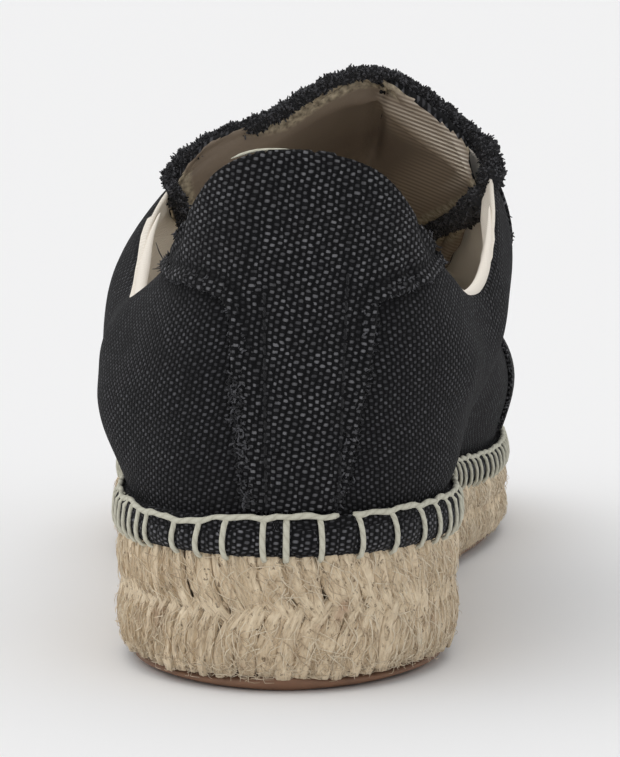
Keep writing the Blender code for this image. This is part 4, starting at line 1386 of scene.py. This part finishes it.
# %% Places of the stitches
HEEL_STITCHES = [-50.0, -46.4, -42.6, -38.8, -35.0, -31.2, -22.2, -16.2, -10.4, -2.8, 1.4, 7.9, 16.0, 24.2,
                 32.9, 39.5, 45.3, 50.2, 55.3]
stitches = [s * MM for s in HEEL_STITCHES]
far = stitches[-1]
while far < ROUND + stitches[0] - 7 * MM:
    far += dice.uniform(4.6, 6.2) * MM
    stitches.append(far)
stitches = np.array(sorted(stitches))
print(len(stitches), "stitches")


def from_stitch(far):
    """The distance to the nearest stitch, round the sole."""
    far = np.asarray(far)
    apart = np.abs((far[..., None] - stitches + ROUND / 2) % ROUND - ROUND / 2)
    return apart.min(axis=-1)


def band_height(point):
    """How high the margin is there: less towards the toe, and a little less at the heel's outer corner."""
    height = np.interp(point[..., 1], [-143 * MM, -65 * MM, 40 * MM], [6.9 * MM, 6.6 * MM, 5.6 * MM])
    corner = np.exp(-((point[..., 0] + 20 * MM) / (9 * MM)) ** 2) * (point[..., 1] < -110 * MM)
    return height * (1 - 0.22 * corner)


# %% [markdown]
# The margin starts as a flat grid. Each column goes to its place round the sole, and each row gets its share
# of the margin's height and its own distance outwards, so that the band is round in section and turned
# under at both edges.

# %% The margin
ACROSS = [(-0.10, -0.9), (0.0, 0.25), (0.12, 0.75), (0.3, 1.15), (0.5, 1.25), (0.7, 1.0), (0.86, 0.35),
          (0.97, -0.7), (1.06, -2.4)]  # for each row, its share of the height and how far out it is, in mm
bpy.ops.object.select_all(action="DESELECT")
bpy.ops.mesh.primitive_grid_add(x_subdivisions=1100, y_subdivisions=len(ACROSS) - 1, size=1.0,
                                location=(0, 0, 0))
margin = bpy.context.object
margin.name = "sewn_margin"
points, _ = corners_of(margin)
far = (points[:, 0] + 0.5) * ROUND
row = np.round((points[:, 1] + 0.5) * (len(ACROSS) - 1)).astype(int)
share, out_by = np.array(ACROSS)[row].T
point, out, _ = place_on_edge(far)
swell = 1 - np.exp(-(from_stitch(far) / (1.0 * MM)) ** 2)
wobble = 0.25 * np.sin(far / MM * 0.9) + 0.2 * np.sin(far / MM * 0.37 + 1.0)
inside = np.sin(math.pi * np.clip(share, 0, 1))
depth = (out_by - 0.15 + inside * (0.75 * swell - 0.5 + 0.12 * wobble)) * MM
spot = point + out * (depth - held_in(point))[:, None]
spot[:, 2] = point[:, 2] + share * band_height(point) + 0.25 * MM * wobble * inside
move_corners(margin, spot)
only(margin)
bpy.ops.object.mode_set(mode="EDIT")
bpy.ops.mesh.select_all(action="SELECT")
bpy.ops.mesh.remove_doubles(threshold=0.01 * MM)
bpy.ops.mesh.normals_make_consistent(inside=False)
bpy.ops.object.mode_set(mode="OBJECT")
bpy.ops.object.shade_smooth()
while margin.data.uv_layers:
    margin.data.uv_layers.remove(margin.data.uv_layers[0])
cloth_map(margin)
margin.data.materials.append(margin_canvas)
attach(margin, BODY)
print(margin.name, "has", len(margin.data.polygons), "faces")

# %% [markdown]
# ## The blanket stitch
#
# Each stitch is a thick ecru thread that comes out under the margin, runs up over it, and hangs from a
# thread along its top. It leans away from the heel's middle. The canvas above bulges here and there, so a
# look from outside finds how far out it is, and the thread stays in front of it.

# %% Blanket stitch
thread_form = straight_form(8, [(0.0, 0.6), (0.08, 1.0), (0.2, 1.0), (0.35, 1.0), (0.5, 1.0), (0.65, 1.0),
                                (0.8, 1.0), (0.92, 0.95), (1.0, 0.6)])
STITCH_MIDDLE = 4 * MM
dressed = (upper_surface, surface(heel_tab))


def wall_out(far, height):
    """How far out from the sole's edge the cloth is, at these places round and heights."""
    found = []
    for f, h in zip(np.atleast_1d(far), np.atleast_1d(height)):
        point, out, _ = place_on_edge(f)
        spots = [on_wall(f, h, tree)[0] for tree in dressed]
        outs = [np.dot(spot - point, out) for spot in spots if spot is not None]
        found.append(max(outs, default=-9 * MM))
    return np.array(found)


copies = []
for far in stitches:
    way = np.clip(((far + ROUND / 2) % ROUND - ROUND / 2 - STITCH_MIDDLE) / (22 * MM), -1, 1)
    lean = (way * 0.9 + dice.uniform(-0.3, 0.3)) * MM
    bow = way * 0.5 * MM
    along = np.linspace(0, 1, 9)
    where = far + lean * (along - 0.6) + bow * np.sin(math.pi * along)
    point, out, _ = place_on_edge(where)
    share = 1.08 - 1.34 * along + dice.uniform(-0.02, 0.02)
    depth = np.interp(along, [0, 0.12, 0.3, 0.55, 0.8, 0.92, 1.0],
                      [-0.5, 0.55, 1.2, 1.35, 0.95, 0.1, -1.6]) * MM - held_in(point)
    height = point[:, 2] + share * band_height(point)
    depth[:2] = np.maximum(depth[:2], wall_out(where[:2], height[:2]) + (0.1 * MM, 0.3 * MM))
    path = point + out * depth[:, None]
    path[:, 2] = height
    copies.append(laid(thread_form, path, out, dice.uniform(0.56, 0.66) * MM, 0.42 * MM))
piece_of("blanket_stitches", thread_form, copies, ecru_thread)

# %% [markdown]
# The thread that the stitches hang from goes once round the sole. Each stitch draws it down and out a
# little. It starts and ends near the back strip, and leaves a short gap there.

# %% The thread along the top
GAP_FROM, GAP_TO = 12.6 * MM, 14.6 * MM
reach = np.arange(GAP_TO, ROUND + GAP_FROM, 1.2 * MM)
nearest = from_stitch(reach)
from_heel = (reach + ROUND / 2) % ROUND - ROUND / 2
point, out, _ = place_on_edge(reach)
wave = 0.14 * np.sin(reach / MM * 1.05) + 0.16 * np.sin(reach / MM * 0.43 + 2)
out_by = -0.15 + 0.3 * np.exp(-(from_heel / (26 * MM)) ** 2) + 0.4 * np.exp(-(nearest / (1.2 * MM)) ** 2)
path = point + out * (out_by * MM - held_in(point))[:, None]
drawn_down = 0.25 * np.exp(-(nearest / (1.5 * MM)) ** 2)
path[:, 2] = point[:, 2] + band_height(point) * 1.08 + (wave - drawn_down) * MM
own_out = ((path - point) * out).sum(axis=1)
needed = wall_out(reach, path[:, 2]) + 0.25 * MM
needed = np.convolve(np.pad(needed, 2, mode="edge"), np.ones(5) / 5, mode="valid")
path += out * np.clip(needed - own_out, 0, 3 * MM)[:, None]
run = straight_form(8, even_rings(700, 0.5))
wide = (0.6 + 0.07 * np.sin(reach / MM * 0.9) + 0.05 * np.sin(reach / MM * 2.3)) * MM
piece_of("rim_thread", run, [laid(run, path, out, wide, 0.5 * MM)], ecru_thread)

# %% [markdown]
# ## The frayed edges
#
# Raw canvas edges lose their outer yarns, and the cross yarns stick out as a nap. One short yarn end is
# modelled, and copies of it, each bent and turned its own way, line every raw edge.

# %% Yarn ends
yarn_form = straight_form(5, [(0.0, 0.8), (0.3, 1.0), (0.65, 1.0), (1.0, 0.5)], open_end=True)


def yarn_end(root, way, up, length, thick, curl, form=yarn_form):
    """One bent yarn end that starts at root."""
    along = np.linspace(0, 1, 5)[:, None]
    side = np.cross(way, up)
    side /= np.linalg.norm(side) + 1e-9
    bend, twist = dice.uniform(-curl, curl), dice.uniform(-curl, curl)
    path = root + way * length * (along - 0.25 * along ** 3)
    path = path + (side * bend + up * twist) * length * along ** 2
    return laid(form, path, up, thick, thick * 0.9)


print("a yarn end has", len(yarn_form["faces"]), "faces")

# %% [markdown]
# ## The tongue's roll and fringe
#
# The border is a fat, lumpy roll of yarn, and thousands of short, blunt ends stand on it, turned all ways.
# Along the top the roll lies on the side that faces the heel, so its line is first moved in front of the
# tongue. It hangs a little below the edge.


# %% The roll
def on_fringe(at):
    """The place, the way along and the way outward at that length of the fringe."""
    place, near, far = (read_row(at + d * MM, line_far, FRINGE_LINE) for d in (0, -3, 3))
    tangent = (far - near) / np.linalg.norm(far - near)
    across = np.cross((0, -1.0, 0.0), tangent)
    across /= np.linalg.norm(across)
    return place, tangent, across


TOP_POINTS = 20  # the first points of the line, which are on the top edge
tongue_surface = surface(tongue)
for point in FRINGE_LINE[:TOP_POINTS]:
    met = tongue_surface.ray_cast(Vector((point[0], FAR_BEHIND, point[2])), Vector((0, 1, 0)))[0]
    if met is not None:
        clear = (1.6 if point[0] > 33 * MM else 0.8) * MM
        point[1] = max(min(point[1], met[1] - clear), point[1] - 3.5 * MM)


def lowered(at):
    """How far below the edge the roll's middle hangs, in mm."""
    return np.interp(at, [0, 18, 28, 42, 60, 100], [0.0, 0.9, 0.9, 0.3, 0.4, 0.3])


along = np.arange(0, line_far[-1] / MM, 0.6)
row = np.array([on_fringe(at * MM)[0] for at in along])
row[:, 2] -= lowered(along) * MM
lump = 1 + 0.16 * np.sin(along * 1.1) + 0.12 * np.sin(along * 2.7 + 1) + 0.08 * np.sin(along * 4.9)
fat = np.interp(along, [0, 12, 18, 30, 40, 60, 86, 94, 106, 116, 126, 160],
                [1.3, 1.6, 1.8, 1.8, 1.4, 1.2, 1.5, 2.3, 3.0, 2.5, 1.8, 1.2]) * lump * MM
roll_form = straight_form(12, even_rings(260, 0.4))
piece_of("tongue_roll", roll_form, [laid(roll_form, row, (0, -1.0, 0.2), fat, fat)], black_yarn)

# %% [markdown]
# A yarn end starts at a random place on the roll and points away from its middle, but partly along it and
# round it. None starts where the roll lies on the lining. A third of them are worn grey.


# %% The fringe
fringe_form = straight_form(4, [(0.0, 0.8), (0.5, 1.05), (1.0, 0.7)])


def fringe_end():
    """One short curled yarn end on the roll."""
    at = dice.uniform(0, line_far[-1])
    root, tangent, across = on_fringe(at)
    front = np.cross(across, tangent)
    turn = dice.uniform(0, 2 * math.pi)
    way = across * math.cos(turn) + front * math.sin(turn)
    root = root - (0, 0, lowered(at / MM) * MM) + way * np.interp(at / MM, along, fat) * 0.85
    if way[1] > 0 and way[2] < 0:
        way, root = -way, root - way * 1.7 * np.interp(at / MM, along, fat)
    around = np.cross(way, tangent) * dice.choice((-1, 1))
    way = way * 0.7 + tangent * dice.gauss(0, 0.8) + around * dice.uniform(0, 1.2)
    way /= np.linalg.norm(way)
    length, thick = dice.uniform(0.45, 1.05) * MM, dice.uniform(0.18, 0.28) * MM
    return yarn_end(root, way, np.cross(way, around), length, thick, 1.0, fringe_form)


piece_of("tongue_fringe", fringe_form, [fringe_end() for _ in range(8000)], black_yarn)
piece_of("tongue_fringe_worn", fringe_form, [fringe_end() for _ in range(3800)], worn_yarn)

# %% [markdown]
# ## The overlays' raw edges
#
# An overlay's edge was noted when it was laid on: for each corner its place, the way outwards and the
# surface's normal. Yarn ends stick out of it at random, and some yarns have slipped and lie along it. The
# tab's top is bound, so it doesn't fray.

# %% Fray the overlays
FRAYS = {"heel_tab": 2600, "throat_facing": 1500, "toe_guard_canvas": 1300}
WORN_SHARE, SLIPPED_SHARE = 0.4, 0.4
black, worn = [], []


def add_end(root, lean, face, length, thick, curl):
    """One more yarn end, black or worn. Length and thick are in mm."""
    end = yarn_end(root, lean / np.linalg.norm(lean), face, length * MM, thick * MM, curl)
    (worn if dice.random() < WORN_SHARE else black).append(end)


for name, number in FRAYS.items():
    edge = raw_edges[name]
    for _ in range(number):
        place, way, face = edge[dice.randrange(len(edge))]
        if name == "heel_tab" and way[2] > 0.3:
            continue
        along_edge = np.cross(face, way)
        if dice.random() < SLIPPED_SHARE:  # it lies in one of two rows
            root = place - way * dice.choice((0.5, 1.7)) * MM + face * 0.2 * MM
            lean = along_edge * dice.choice((-1, 1)) + way * dice.gauss(0, 0.45)
            long, thick = dice.uniform(1.0, 2.0), dice.uniform(0.15, 0.22)
        else:
            root = place - way * dice.uniform(0.2, 1.2) * MM + face * 0.2 * MM
            lean = way + along_edge * dice.gauss(0, 0.6) + face * dice.uniform(-0.1, 0.15)
            long, thick = dice.uniform(0.7, 1.7), dice.uniform(0.12, 0.2)
        add_end(root, lean, face, long, thick, 0.5)
print("yarn ends on raw edges:", len(black) + len(worn))

# %% [markdown]
# Beside the back strip the cut sides have been rubbed loose and stand up in tufts, more of them at some
# heights. A few long yarns hang off the tip of the outer wing.

# %% Tufts and long yarns
sides = [e for e in raw_edges["heel_tab"] if abs(e[1][2]) < 0.5 and e[0][2] < 77 * MM and e[0][1] < -125 * MM]
for _ in range(950):
    place, way, face = sides[dice.randrange(len(sides))]
    heights, how_many = (([36, 42, 58, 66], [0.5, 1.0, 1.0, 0.15]) if place[0] < 4 * MM
                         else ([36, 48, 77], [0.5, 1.0, 0.9]))
    if dice.random() > np.interp(place[2] / MM, heights, how_many):
        continue
    along_edge = np.cross(face, way)
    root = place - way * dice.uniform(-0.6, 2.2) * MM + face * dice.uniform(0.1, 0.45) * MM
    lean = way * dice.gauss(0.3, 0.7) + along_edge * dice.gauss(0, 0.9) + face * dice.uniform(0.0, 0.25)
    add_end(root, lean, face, dice.uniform(0.6, 1.6), dice.uniform(0.14, 0.22), 0.7)
outer_wing = [e for e in raw_edges["heel_tab"] if e[0][0] < 0 and e[0][2] > 70 * MM]
place, way, face = max(outer_wing, key=lambda e: e[0][1])
for _ in range(9):
    lean = way * 0.6 + face * dice.uniform(0.1, 0.5) + np.array((-0.2, 0.1, dice.uniform(-0.9, 0.6)))
    lean /= np.linalg.norm(lean)
    black.append(yarn_end(place - way * 0.8 * MM, lean, face, dice.uniform(2.0, 4.0) * MM, 0.13 * MM, 0.8))
piece_of("frayed_yarn", yarn_form, black, black_yarn)
piece_of("frayed_worn_yarn", yarn_form, worn, worn_yarn)

# %% [markdown]
# ## The stitches of the back strip
#
# Two rows of dark stitches hold the back strip. A machine stitch is a short thread that dips in at both
# ends, so one is modelled, and copies lie end to end in the grooves.

# %% Stitches of the back strip
STITCHES_A_SEAM = 17
seam_form = straight_form(6, [(0.0, 0.4), (0.2, 1.0), (0.5, 1.0), (0.8, 1.0), (1.0, 0.4)])
copies, seam_surface = [], surface(heel_tab)
for low, high in SEAMS:
    for k in range(STITCHES_A_SEAM):
        path = []
        for t in np.linspace((k + 0.08) / STITCHES_A_SEAM, (k + 0.86) / STITCHES_A_SEAM, 5):
            x, z = (low[i] * MM + (high[i] - low[i]) * MM * t for i in (0, 1))
            spot, normal = from_behind(x, z, seam_surface)
            path.append(spot + normal * 0.02 * MM)
        copies.append(laid(seam_form, path, normal, 0.3 * MM, 0.16 * MM))
piece_of("back_strip_stitches", seam_form, copies, dark_thread)
